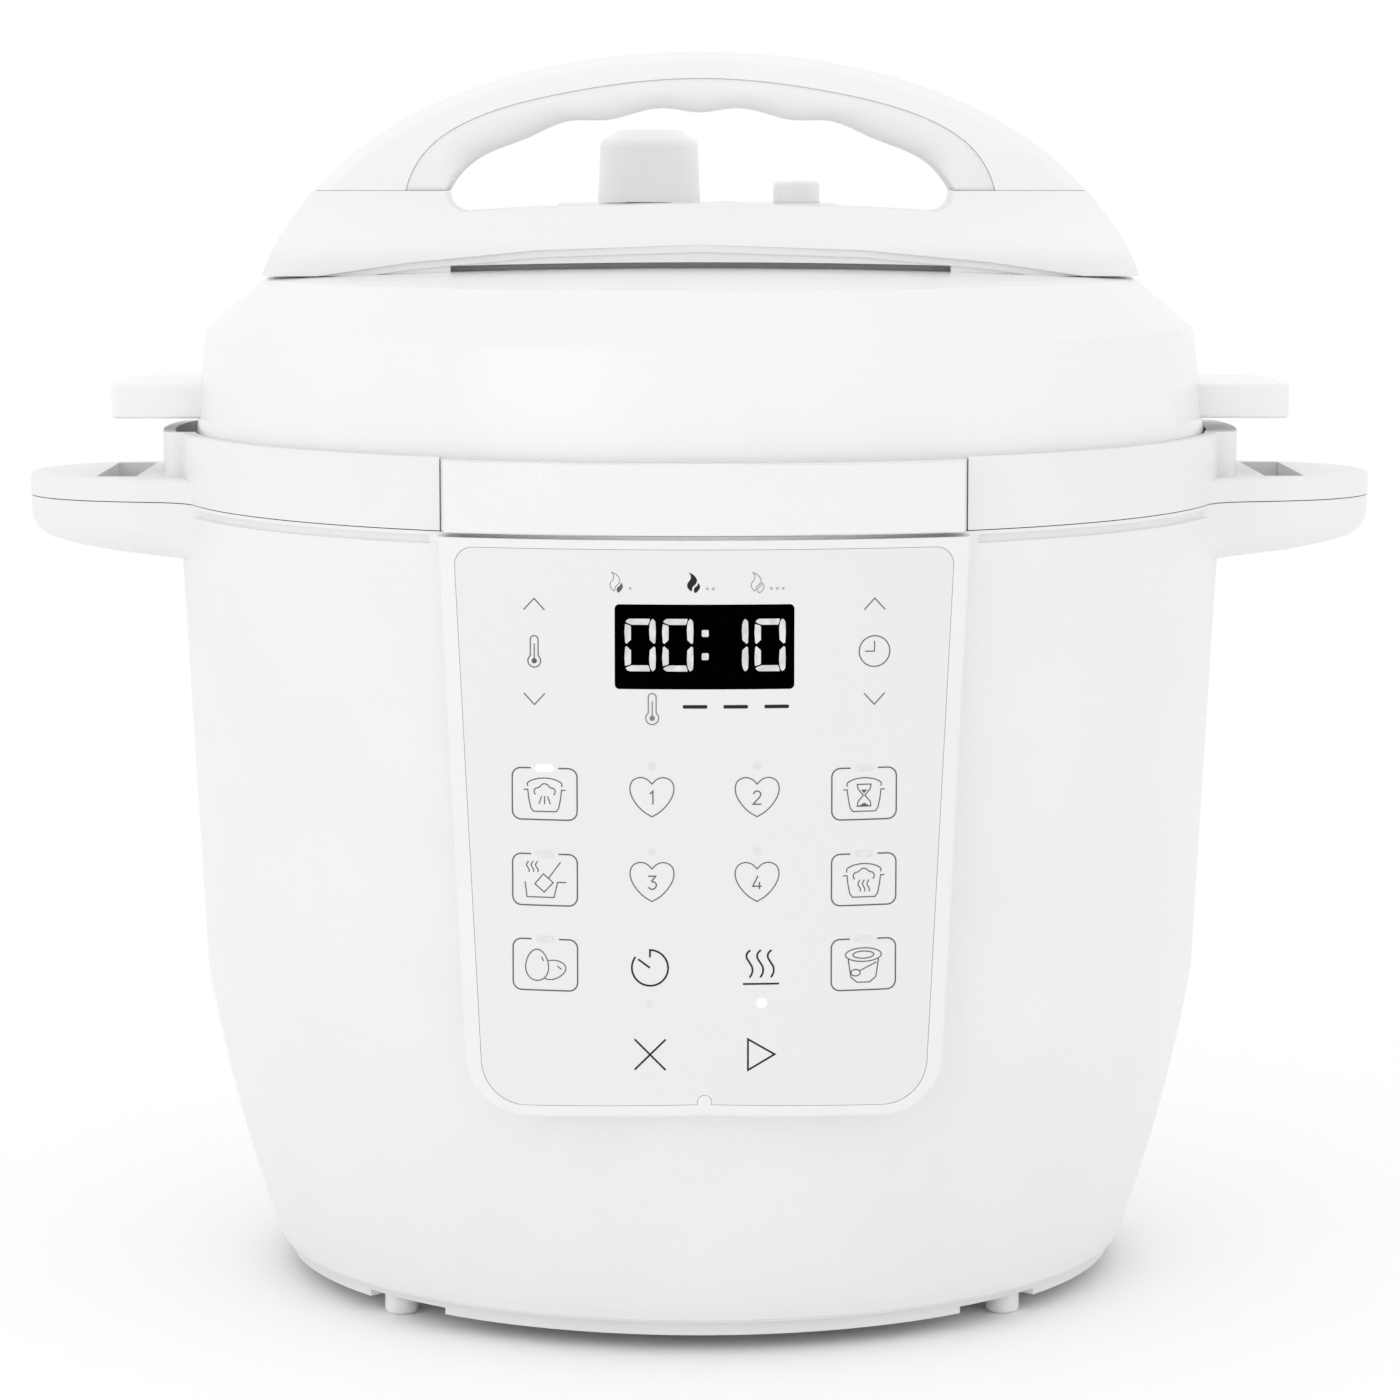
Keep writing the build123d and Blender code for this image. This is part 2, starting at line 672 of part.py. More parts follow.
def lidLiner():
    body = outline([(0, 250.8), (103.6, 250.8), (118.4, 245.0), (120.8, 240.6), (120.8, 226.0), (122.0, 226.0),
                    (122.0, 241.0), (119.2, 246.2), (104.0, 252.0), (0, 252.0)])
    for tooth in lugs(121.6, lidLugR, 226.0, 228.6):
        body += tooth
    for x, y in ringOf(3, 78, 30):
        body -= rod(x, y, 1.8, 240, 260)
    body -= rod(valveX, valveY, 4.2, 240, 260)
    return body - rod(floatX, floatY, 3.4, 240, 260)


def sealRack():
    hoop = outline([(111.4, 234.4), (113.4, 234.4), (113.4, 236.2), (111.4, 236.2)])
    for k in range(6):
        hoop += aroundZ(rod(112.4, 0, 0.8, 235.4, 246.9), 60 * k + 12)
    return hoop


def lidScrews():
    return group([screw(x, y, 3.0, 248.8, 2.0, 1.5, 262.0) for x, y in ringOf(3, 78, 30)])


# ---- lid handle ----

handleScrewX = (-94.0, 94.0)


def arch(points, halfY):
    """Slab across Y under a smooth curve through (x, z) points, closed by a straight base."""
    curve = Spline(*[(x, 0, z) for x, z in points])
    base = Line((points[-1][0], 0, points[-1][1]), (points[0][0], 0, points[0][1]))
    return extrude(make_face(Curve() + [curve, base]), halfY, dir=(0, 1, 0), both=True)


def symmetric(points):
    """Left half of a curve, given outwards in, completed to the right."""
    return points + [(-x, z) for x, z in reversed(points) if x < 0]


outerArch = symmetric([(-120.9, 279.4), (-114.2, 293.2), (-103.4, 306.6), (-86.1, 320.0),
                       (-60.8, 331.6), (-33.8, 338.3), (0, archTopZ)])
gripArch = symmetric([(-81.6, archSeamZ), (-72.6, 316.8), (-63.4, 322.2), (-40.1, 329.1), (0, 333.6)])
fingerWaves = symmetric([(-70.4, archSeamZ), (-60.7, 312.3), (-47.5, 317.6), (-36.8, 321.9), (-26.0, 322.2),
                         (-14.9, 325.0), (-8.4, 325.4), (0, 324.3)])


def above(shape, z):
    return shape & block(-200, 200, -60, 60, z, 400)


def handleCover():
    body = arch(outerArch, archHalfY)
    edges = [e for e in body.edges() if e.length > 200]
    body = fillet(edges, 3.2)
    return above(body, archSeamZ) - arch(gripArch, 60)


def handleGrip():
    inner = arch(gripArch, archHalfY - 0.2) - arch(fingerWaves, 60)
    return above(inner, archSeamZ)


def bridgeSection():
    """Side view of the bridge: upright at the top, sweeping out to its front foot."""
    top = archSeamZ - seamGap
    h = archHalfY
    f = bridgeFootHalfY
    sweepLine = Spline((0, -h, top), (0, -h - 0.5, top - 3.4), (0, -h - 2.6, top - 8.2), (0, -f + 2.5, top - 12.6),
                       (0, -f + 0.6, top - 16.0), (0, -f, top - 20.0))
    rest = Polyline((0, -f, top - 20.0), (0, -f, 270), (0, h, 270), (0, h, top), (0, -h, top))
    return extrude(make_face(Curve() + [sweepLine, rest]), 130, dir=(1, 0, 0), both=True)


def openingCut():
    """Space under the grip, down to the top of the bridge, with round lower corners."""
    points = [(-70.4, 330), (-70.4, 296.6), (-45, 298.1), (0, 299.2), (45, 298.1), (70.4, 296.6), (70.4, 330)]
    face = make_face(Polyline(*[(x, 0, z) for x, z in points], close=True))
    low = [v for v in face.vertices() if v.Z < 297]
    return extrude(fillet(low, 5.0), 60, dir=(0, 1, 0), both=True)


def underArch(lift, depth):
    """Set-back space below the front edge of the bridge."""
    points = [(-107, 279.2), (-80, 283.2), (-45, 286.5), (0, 288.0), (45, 286.5), (80, 283.2), (107, 279.2),
              (107, 260), (-107, 260)]
    slab = sideProfile([(x, z - lift) for x, z in points], 60)
    return slab & block(-120, 120, -60, -bridgeFootHalfY + depth, 250, 300)


def handleBridge():
    body = arch(outerArch, 60) & bridgeSection()
    body = body - openingCut() - underArch(0, 1.3) - underArch(2.0, 1.9)
    # open slit above the dome along the front
    slit = Pos(0, 0, 1.7) * lidSolid(0)
    body -= slit & block(-69, 69, -30, -14, 270, 300)
    body -= lidSolid(0)
    for x in handleScrewX:
        body -= rod(x, 0, 1.45, 270, 299.2)
    return body


def handleScrews():
    return group([screw(x, 0, 2.8, 275.2, 1.8, 1.4, 299.0) for x in handleScrewX])


# ---- steam valve, release button and float valve ----

def valvePlatform():
    cx = (deckLeftX + deckRightX) / 2
    cy = (deckFrontY + deckBackY) / 2
    outer = Pos(cx, cy, 270) * extrude(RectangleRounded(deckRightX - deckLeftX, deckBackY - deckFrontY, 11), deckTopZ - 270)
    top = [e for e in outer.edges() if e.center().Z > deckTopZ - 0.1]
    outer = fillet(top, 1.8)
    inner = Pos(cx, cy, 260) * extrude(RectangleRounded(deckRightX - deckLeftX - 4.4, deckBackY - deckFrontY - 4.4, 9),
                                       deckTopZ - 2.4 - 260)
    body = outer - inner - lidSolid(0)
    # ears that carry the lever pin
    for y in (leverY - 6.6, leverY + 5.0):
        body += block(leverPivotX - 3, leverPivotX + 3, y, y + 1.6, leverPivotZ - 3, deckTopZ - 2.0)
    # shelf under the release button for its spring
    shelf = block(buttonX - 8.0, buttonX + 8.0, leverY - 9.4, leverY + 9.4, 290.9, deckTopZ - 2.0)
    shelf -= block(buttonX - 9.0, buttonX + 9.0, leverY - 8.0, leverY + 8.0, 291.9, deckTopZ - 2.4)
    body += shelf - rod(buttonX, leverY, 2.2, 280, 300)
    body -= Pos(leverPivotX, leverY, leverPivotZ) * Rot(90, 0, 0) * Cylinder(1.25, 30)
    body -= rod(valveX, valveY, 7.0, 280, 310)
    body -= rod(buttonX, valveY, buttonR + fit, 280, 310)
    return body - rod(floatX, floatY, 3.8, 280, 310)


leverY = 45.0
leverPivotX = 7.0
leverPivotZ = 290.0


def ventLever():
    """Rocker that lifts the steam valve when the button goes down."""
    bar = block(-12.0, 30.4, leverY - 3.6, leverY + 3.6, 288.6, 289.9)
    fork = block(-15.8, -8.0, leverY - 8.6, leverY + 8.6, 288.6, 291.0)
    fork -= block(-30, -9.8, leverY - 4.6, leverY + 4.6, 280, 300)
    bar -= block(-30, -9.8, leverY - 4.6, leverY + 4.6, 280, 300)
    boss = Pos(leverPivotX, leverY, leverPivotZ) * Rot(90, 0, 0) * Cylinder(2.6, 7.2)
    return bar + fork + boss - Pos(leverPivotX, leverY, leverPivotZ) * Rot(90, 0, 0) * Cylinder(1.25, 30)


def leverPin():
    return Pos(leverPivotX, leverY, leverPivotZ) * Rot(90, 0, 0) * Cylinder(1.2, 13.0)


def steamPipe():
    body = tube(valveX, valveY, 4.0, 2.5, 246.0, 304.0)
    return body + tube(valveX, valveY, 8.0, 3.9, 252.0, 254.0)


def pipeNut():
    nut = Pos(valveX, valveY, 247.6) * extrude(RegularPolygon(7.0, 6), 3.2)
    return nut - rod(valveX, valveY, 4.0, 240, 260)


def steamValve():
    edges = Polyline((4.35, 0, 291.5), (6.6, 0, 291.5), (6.6, 0, 299.6), (12.8, 0, 299.6), (12.8, 0, deckTopZ + 0.4),
                     (valveR, 0, deckTopZ + 0.4), (valveR - 0.6, 0, 314.2))
    edges += ThreePointArc((valveR - 0.6, 0, 314.2), (valveR - 1.0, 0, 316.0), (valveR - 2.4, 0, 317.2))
    edges += Line((valveR - 2.4, 0, 317.2), (9.0, 0, 319.3))
    edges += ThreePointArc((9.0, 0, 319.3), (8.5, 0, 319.55), (8.0, 0, valveTopZ))
    edges += Polyline((8.0, 0, valveTopZ), (0, 0, valveTopZ), (0, 0, 308.6), (4.35, 0, 308.6), (4.35, 0, 291.5))
    return Pos(valveX, valveY, 0) * turned(edges)


def releaseButton():
    cap = rod(buttonX, valveY, buttonR, 297.0, buttonTopZ)
    cap = fillet([e for e in cap.edges() if e.center().Z > buttonTopZ - 0.1], 1.6)
    return cap + rod(buttonX, valveY, 1.6, 290.4, 297.0)


def floatValve():
    pin = rod(floatX, floatY, 2.6, 243.0, 294.0) + rod(floatX, floatY, 3.3, 294.0, 298.0)
    return fillet([e for e in pin.edges() if e.center().Z > 297.9], 0.6)


def floatCap():
    return rod(floatX, floatY, 5.2, 240.4, 243.0) + tube(floatX, floatY, 5.2, 2.6, 243.0, 244.6)


def antiBlockShield():
    cap = tube(valveX, valveY, 13.0, 12.2, 238.0, 249.8) + rod(valveX, valveY, 13.0, 237.2, 238.0)
    for k in range(6):
        slit = block(4.5, 14.0, -1.0, 1.0, 236.0, 247.0)
        cap -= Pos(valveX, valveY, 0) * aroundZ(slit, 60 * k)
    return cap + tube(valveX, valveY, 16.0, 12.2, 249.8, 250.8)


# ---- write every piece ----

pieces = {
    "outer_housing": outerHousing,
    "top_collar": topCollar,
    "name_plate": namePlate,
    "control_fascia": controlFascia,
    "panel_overlay": panelOverlay,
    "display_window": displayWindow,
    "display_module": displayModule,
    "control_board": controlBoard,
    "inner_liner": innerLiner,
    "locking_ring": lockingRing,
    "heating_plate": heatingPlate,
    "heating_element": heatingElement,
    "heater_bracket": heaterBracket,
    "temp_sensor": tempSensor,
    "sensor_guide": sensorGuide,
    "sensor_spring": lambda: spring(0, 0, 7.0, 0.7, 40.0, 60.2, 5),
    "thermal_fuse": thermalFuse,
    "pressure_switch": pressureSwitch,
    "power_board": powerBoard,
    "board_parts": boardParts,
    "wiring_harness": wiringHarness,
    "power_inlet": powerInlet,
    "inlet_pins": inletPins,
    "cup_pocket": cupPocket,
    "condensation_cup": condensationCup,
    "bottom_cover": bottomCover,
    "foot_front_left": lambda: foot(0),
    "foot_front_right": lambda: foot(1),
    "foot_rear_right": lambda: foot(2),
    "foot_rear_left": lambda: foot(3),
    "bottom_screws": bottomScrews,
    "inner_pot": innerPot,
    "sealing_ring": sealingRing,
    "lid_cover": lidCover,
    "lid_liner": lidLiner,
    "seal_rack": sealRack,
    "lid_screws": lidScrews,
    "handle_cover": handleCover,
    "handle_grip": handleGrip,
    "handle_bridge": handleBridge,
    "handle_screws": handleScrews,
    "valve_platform": valvePlatform,
    "vent_lever": ventLever,
    "lever_pin": leverPin,
    "steam_pipe": steamPipe,
    "pipe_nut": pipeNut,
    "steam_valve": steamValve,
    "release_button": releaseButton,
    "button_spring": lambda: spring(buttonX, valveY, 4.2, 0.3, 291.9, 297.0, 2),
    "float_valve": floatValve,
    "float_cap": floatCap,
    "anti_block_shield": antiBlockShield,
}

for name, make in pieces.items():
    save(name, make())
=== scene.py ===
import math

import bmesh
import bpy
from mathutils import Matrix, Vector
from mathutils.geometry import tessellate_polygon


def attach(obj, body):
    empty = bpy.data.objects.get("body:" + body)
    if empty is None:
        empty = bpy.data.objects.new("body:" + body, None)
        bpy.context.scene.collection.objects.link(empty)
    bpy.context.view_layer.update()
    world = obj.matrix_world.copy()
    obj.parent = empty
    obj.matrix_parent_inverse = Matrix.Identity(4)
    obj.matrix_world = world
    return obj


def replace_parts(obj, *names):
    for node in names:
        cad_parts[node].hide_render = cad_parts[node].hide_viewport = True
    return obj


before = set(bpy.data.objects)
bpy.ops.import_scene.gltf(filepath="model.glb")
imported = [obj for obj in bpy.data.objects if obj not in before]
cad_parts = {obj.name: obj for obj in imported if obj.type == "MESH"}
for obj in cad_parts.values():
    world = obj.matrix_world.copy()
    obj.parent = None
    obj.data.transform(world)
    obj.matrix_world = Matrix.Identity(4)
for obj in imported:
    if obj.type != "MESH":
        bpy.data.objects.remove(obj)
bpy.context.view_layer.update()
scene = bpy.context.scene
mm = 0.001


# shader maths: a number coming out of a node, so that sums on it add Math nodes
class Signal:
    def __init__(self, finish, socket):
        self.finish = finish
        self.socket = socket

    def math(self, operation, first, second=None):
        feeds = {0: first} if second is None else {0: first, 1: second}
        return self.finish.number("ShaderNodeMath", {"operation": operation}, feeds)

    def __add__(self, other):
        return self.math("ADD", self, other)

    def __radd__(self, other):
        return self.math("ADD", other, self)

    def __sub__(self, other):
        return self.math("SUBTRACT", self, other)

    def __rsub__(self, other):
        return self.math("SUBTRACT", other, self)

    def __mul__(self, other):
        return self.math("MULTIPLY", self, other)

    def __rmul__(self, other):
        return self.math("MULTIPLY", other, self)

    def __pow__(self, other):
        return self.math("POWER", self, other)

    def above(self, level):
        return self.math("GREATER_THAN", self, level)

    def smooth(self, low, high):
        ramp = {"interpolation_type": "SMOOTHSTEP"}
        feeds = {"Value": self, "From Min": low, "From Max": high, "To Min": 0.0, "To Max": 1.0}
        return self.finish.number("ShaderNodeMapRange", ramp, feeds)


# one material: constants go straight on its shader, and every other node comes from node()
class Finish:
    def __init__(self, name, constants):
        self.material = bpy.data.materials.new(name)
        self.material.use_nodes = True
        self.tree = self.material.node_tree
        self.tree.nodes.clear()
        self.shader = self.node("ShaderNodeBsdfPrincipled", {}, constants)
        self.node("ShaderNodeOutputMaterial", {}, {"Surface": self.shader.outputs["BSDF"]})
        self.place = self.node("ShaderNodeTexCoord", {}, {}).outputs["Object"]

    def node(self, kind, settings, feeds):
        made = self.tree.nodes.new(kind)
        for key, value in settings.items():
            setattr(made, key, value)
        for key, value in feeds.items():
            self.feed(made.inputs[key], value)
        return made

    def feed(self, socket, value):
        if isinstance(value, Signal):
            value = value.socket
        if isinstance(value, bpy.types.NodeSocket):
            self.tree.links.new(value, socket)
        else:
            socket.default_value = value

    def number(self, kind, settings, feeds, output=0):
        return Signal(self, self.node(kind, settings, feeds).outputs[output])

    def noise(self, grain, detail=2.0, place=None, rough=0.5):
        # grain is the size of the features in millimetres
        feeds = {"Vector": place or self.place, "Scale": 1000.0 / grain, "Detail": detail, "Roughness": rough}
        return self.number("ShaderNodeTexNoise", {}, feeds, "Fac")

    def stretched(self, x, y, z):
        settings = {"operation": "MULTIPLY"}
        return self.node("ShaderNodeVectorMath", settings, {0: self.place, 1: (x, y, z)}).outputs["Vector"]

    def ringPlace(self, turnScale):
        # radius, height and a little of the angle: marks drawn by it run round the Z axis
        parts = self.node("ShaderNodeSeparateXYZ", {}, {"Vector": self.place})
        x, y = Signal(self, parts.outputs["X"]), Signal(self, parts.outputs["Y"])
        radius = (x * x + y * y) ** 0.5
        angle = x.math("ARCTAN2", y, x) * turnScale
        feeds = {"X": radius, "Y": Signal(self, parts.outputs["Z"]), "Z": angle}
        return self.node("ShaderNodeCombineXYZ", {}, feeds).outputs["Vector"]

    def mix(self, share, first, second):
        # the colour sockets of a Mix node share their names with the number sockets, so they go by place
        feeds = {0: share, 6: (*first, 1.0), 7: (*second, 1.0)}
        return self.node("ShaderNodeMix", {"data_type": "RGBA"}, feeds).outputs[2]

    def colour(self, value):
        self.feed(self.shader.inputs["Base Color"], value)

    def roughness(self, value):
        self.feed(self.shader.inputs["Roughness"], value)

    def bump(self, height, distance, strength=1.0):
        # distance is in millimetres
        feeds = {"Height": height, "Distance": distance * mm, "Strength": strength}
        self.feed(self.shader.inputs["Normal"], self.node("ShaderNodeBump", {}, feeds).outputs["Normal"])


def grey(value, warmth=0.0):
    return (value * (1 + warmth), value, value * (1 - warmth))


# moulded parts: colour, how far it drifts, gloss, the size and depth of the spark-eroded grain
plasticLooks = {
    "body_white": {"value": 0.828, "warmth": 0.004, "drift": 0.012, "rough": 0.34, "grain": 0.55, "depth": 0.006,
                   "coat": 0.10, "ripple": 0.02},
    "lid_white": {"value": 0.860, "warmth": 0.003, "drift": 0.008, "rough": 0.24, "grain": 0.8, "depth": 0.002,
                  "coat": 0.25, "ripple": 0.02},
    "handle_white": {"value": 0.878, "warmth": 0.003, "drift": 0.008, "rough": 0.26, "grain": 0.8, "depth": 0.002,
                     "coat": 0.22, "ripple": 0.02},
    "grip_white": {"value": 0.850, "warmth": 0.004, "drift": 0.012, "rough": 0.48, "grain": 0.35, "depth": 0.010,
                   "coat": 0.0, "ripple": 0.01},
    "plate_white": {"value": 0.836, "warmth": 0.002, "drift": 0.006, "rough": 0.26, "grain": 0.7, "depth": 0.002,
                    "coat": 0.2, "ripple": 0.01},
    "base_white": {"value": 0.780, "warmth": 0.006, "drift": 0.018, "rough": 0.52, "grain": 0.45, "depth": 0.012,
                   "coat": 0.0, "ripple": 0.03},
    "pocket_white": {"value": 0.780, "warmth": 0.006, "drift": 0.015, "rough": 0.5, "grain": 0.45, "depth": 0.010,
                     "coat": 0.0, "ripple": 0.02},
    "lever_grey": {"value": 0.420, "warmth": 0.0, "drift": 0.02, "rough": 0.42, "grain": 0.5, "depth": 0.006,
                   "coat": 0.0, "ripple": 0.0},
    "socket_black": {"value": 0.016, "warmth": 0.0, "drift": 0.004, "rough": 0.46, "grain": 0.45, "depth": 0.014,
                     "coat": 0.0, "ripple": 0.02},
}


def mouldedPlastic(name, look):
    finish = Finish(name, {"IOR": 1.49, "Coat Roughness": 0.12, "Coat Weight": look["coat"]})
    drift = finish.noise(38.0, 3.0)
    fleck = finish.noise(1.7, 2.0)
    low = grey(look["value"] - look["drift"], look["warmth"])
    high = grey(look["value"] + look["drift"] * 0.6, look["warmth"] * 0.4)
    finish.colour(finish.mix((drift * 0.8 + fleck * 0.2).smooth(0.3, 0.7), low, high))
    finish.roughness(look["rough"] - 0.05 + drift * 0.07 + fleck * 0.03)
    grain = finish.noise(look["grain"], 2.0)
    swell = finish.noise(26.0, 1.0)
    finish.bump(grain * look["depth"] + swell * look["ripple"], 1.0)
    return finish.material


# clear or milky plastics of the valve, button and condensation cup
milkyLooks = {
    "valve_milk": {"value": 0.930, "through": 0.0, "rough": 0.30, "soft": 0.06},
    "button_milk": {"value": 0.925, "through": 0.0, "rough": 0.28, "soft": 0.06},
    "cup_frost": {"value": 0.86, "through": 0.72, "rough": 0.34, "soft": 0.0},
    "seal_silicone": {"value": 0.72, "through": 0.18, "rough": 0.46, "soft": 0.3},
}


def milkyPlastic(name, look):
    finish = Finish(name, {"IOR": 1.46, "Transmission Weight": look["through"], "Subsurface Weight": look["soft"],
                           "Subsurface Scale": 0.004, "Subsurface Radius": (1.0, 1.0, 1.0)})
    cloud = finish.noise(9.0, 3.0)
    finish.colour(finish.mix(cloud, grey(look["value"] - 0.03), grey(look["value"] + 0.02)))
    finish.roughness(look["rough"] + cloud * 0.08)
    finish.bump(finish.noise(0.5, 2.0), 0.008)
    return finish.material


metalLooks = {
    "pot_steel": {"colour": (0.62, 0.62, 0.61), "rough": 0.20, "lines": 0.22, "round": True, "depth": 0.006},
    "lid_steel": {"colour": (0.60, 0.60, 0.59), "rough": 0.16, "lines": 0.12, "round": True, "depth": 0.004},
    "ring_steel": {"colour": (0.56, 0.56, 0.55), "rough": 0.30, "lines": 0.16, "round": True, "depth": 0.006},
    "liner_aluminium": {"colour": (0.72, 0.72, 0.73), "rough": 0.34, "lines": 0.14, "round": True,
                        "depth": 0.010},
    "cast_aluminium": {"colour": (0.68, 0.68, 0.69), "rough": 0.42, "lines": 0.10, "round": True, "depth": 0.030},
    "spring_steel": {"colour": (0.50, 0.50, 0.50), "rough": 0.26, "lines": 0.08, "round": False, "depth": 0.004},
    "zinc": {"colour": (0.60, 0.61, 0.63), "rough": 0.32, "lines": 0.12, "round": False, "depth": 0.006},
    "brass": {"colour": (0.72, 0.53, 0.25), "rough": 0.28, "lines": 0.10, "round": False, "depth": 0.006},
    "element_sheath": {"colour": (0.23, 0.21, 0.19), "rough": 0.48, "lines": 0.12, "round": False,
                       "depth": 0.014},
}


def brushedMetal(name, look):
    finish = Finish(name, {"Metallic": 1.0})
    place = finish.ringPlace(0.004) if look["round"] else finish.stretched(1.0, 1.0, 0.15)
    lines = finish.noise(0.6, 3.0, place)
    smear = finish.noise(24.0, 3.0)
    dark = tuple(c * 0.86 for c in look["colour"])
    finish.colour(finish.mix((lines * 0.5 + smear * 0.5).smooth(0.35, 0.65), dark, look["colour"]))
    finish.roughness(look["rough"] - 0.04 + lines * look["lines"] + smear * 0.06)
    finish.bump(lines, look["depth"])
    return finish.material


filmLook = {"value": 0.787, "rough": 0.36, "grain": 0.35, "depth": 0.004, "coat": 0.15}


def filmFinish():
    finish = Finish("film_white", {"IOR": 1.5, "Coat Weight": filmLook["coat"], "Coat Roughness": 0.2})
    drift = finish.noise(60.0, 2.0)
    finish.colour(finish.mix(drift, grey(filmLook["value"] - 0.008), grey(filmLook["value"] + 0.008)))
    finish.roughness(filmLook["rough"] + drift * 0.05)
    finish.bump(finish.noise(filmLook["grain"], 1.0), filmLook["depth"])
    return finish.material


lensLook = {"value": 0.0002, "rough": 0.30}


def lensFinish():
    finish = Finish("lens_black", {"IOR": 1.45, "Specular IOR Level": 0.002})
    smear = finish.noise(14.0, 3.0)
    finish.colour(finish.mix(smear, grey(lensLook["value"]), grey(lensLook["value"] * 1.6)))
    finish.roughness(lensLook["rough"] + smear * 0.06)
    finish.bump(finish.noise(30.0, 1.0), 0.01)
    return finish.material


# printed marks: value, how unevenly it covers
inkLooks = {
    "ink_dark": {"value": 0.012, "cover": 0.004},
    "ink_grey": {"value": 0.105, "cover": 0.015},
    "ink_soft": {"value": 0.200, "cover": 0.020},
    "ink_pale": {"value": 0.430, "cover": 0.020},
}


def inkFinish(name, look):
    finish = Finish(name, {"IOR": 1.45, "Specular IOR Level": 0.3})
    cover = finish.noise(0.3, 2.0)
    thin, full = grey(look["value"] - look["cover"] * 0.5), grey(look["value"] + look["cover"])
    finish.colour(finish.mix(cover, thin, full))
    finish.roughness(0.5 + cover * 0.15)
    finish.bump(cover, 0.002)
    return finish.material


# lamps behind the film and the display segments: brightness and how far it drifts across them
glowLooks = {
    "segment_glow": {"value": 0.80, "drift": 0.16, "strength": 1.0, "spread": 3.0},
    "lamp_glow": {"value": 1.0, "drift": 0.0, "strength": 1.25, "spread": 6.0},
    "lamp_dim": {"value": 0.76, "drift": 0.04, "strength": 0.0, "spread": 2.0},
}


glowOff = 0.02              # colour under the light of a glowing mark


def glowFinish(name, look):
    finish = Finish(name, {"Emission Strength": look["strength"], "Roughness": 0.4, "Specular IOR Level": 0.1})
    cells = finish.noise(look["spread"], 1.0)
    dim, lit = grey(look["value"] - look["drift"]), grey(look["value"])
    light = finish.mix(cells.smooth(0.3, 0.7), dim, lit)
    if look["strength"] > 0:
        finish.colour((*grey(glowOff), 1.0))
        finish.feed(finish.shader.inputs["Emission Color"], light)
    else:
        finish.colour(light)
    return finish.material


boardLook = {"mask": (0.012, 0.115, 0.050), "copper": (0.030, 0.190, 0.085), "track": 2.6}


def boardFinish():
    finish = Finish("board_green", {"IOR": 1.5})
    feeds = {"Vector": finish.place, "Scale": 1000.0 / boardLook["track"], "Randomness": 0.0}
    cell = finish.number("ShaderNodeTexVoronoi", {"feature": "F1", "distance": "CHEBYCHEV"}, feeds, "Distance")
    tracks = cell.smooth(0.36, 0.42) * finish.noise(9.0, 0.0).above(0.5)
    finish.colour(finish.mix(tracks, boardLook["mask"], boardLook["copper"]))
    finish.roughness(0.32 + tracks * 0.1)
    finish.bump(tracks, 0.03)
    return finish.material


partsLook = {"dark": (0.020, 0.020, 0.022), "blue": (0.030, 0.085, 0.260), "size": 24.0}


def partsFinish():
    finish = Finish("board_parts", {"IOR": 1.5})
    kind = finish.noise(partsLook["size"], 0.0).above(0.52)
    finish.colour(finish.mix(kind, partsLook["dark"], partsLook["blue"]))
    finish.roughness(0.4 + finish.noise(1.2, 2.0) * 0.15)
    finish.bump(finish.noise(0.4, 2.0), 0.01)
    return finish.material


rubberLook = {"value": 0.86, "rough": 0.62, "grain": 0.6, "depth": 0.03}


def rubberFinish():
    finish = Finish("rubber_grey", {"IOR": 1.5})
    dust = finish.noise(5.0, 3.0)
    finish.colour(finish.mix(dust.smooth(0.5, 0.8), grey(rubberLook["value"]), grey(rubberLook["value"] * 0.9)))
    finish.roughness(rubberLook["rough"] + dust * 0.12)
    finish.bump(finish.noise(rubberLook["grain"], 2.0), rubberLook["depth"])
    return finish.material


wireLook = {"red": (0.42, 0.020, 0.015), "white": (0.62, 0.60, 0.56)}


def wireFinish():
    finish = Finish("wire_sleeve", {"IOR": 1.5})
    side = finish.node("ShaderNodeSeparateXYZ", {}, {"Vector": finish.place}).outputs["Y"]
    finish.colour(finish.mix(Signal(finish, side).above(0.0), wireLook["white"], wireLook["red"]))
    finish.roughness(0.42 + finish.noise(2.0, 2.0) * 0.1)
    finish.bump(finish.noise(0.6, 2.0), 0.02)
    return finish.material


finishes = {"film_white": filmFinish(), "lens_black": lensFinish(), "board_green": boardFinish(),
            "board_parts": partsFinish(), "rubber_grey": rubberFinish(), "wire_sleeve": wireFinish()}
for looks, make in ((plasticLooks, mouldedPlastic), (milkyLooks, milkyPlastic), (metalLooks, brushedMetal),
                    (inkLooks, inkFinish), (glowLooks, glowFinish)):
    for name, look in looks.items():
        finishes[name] = make(name, look)
print("finishes made:", len(finishes))


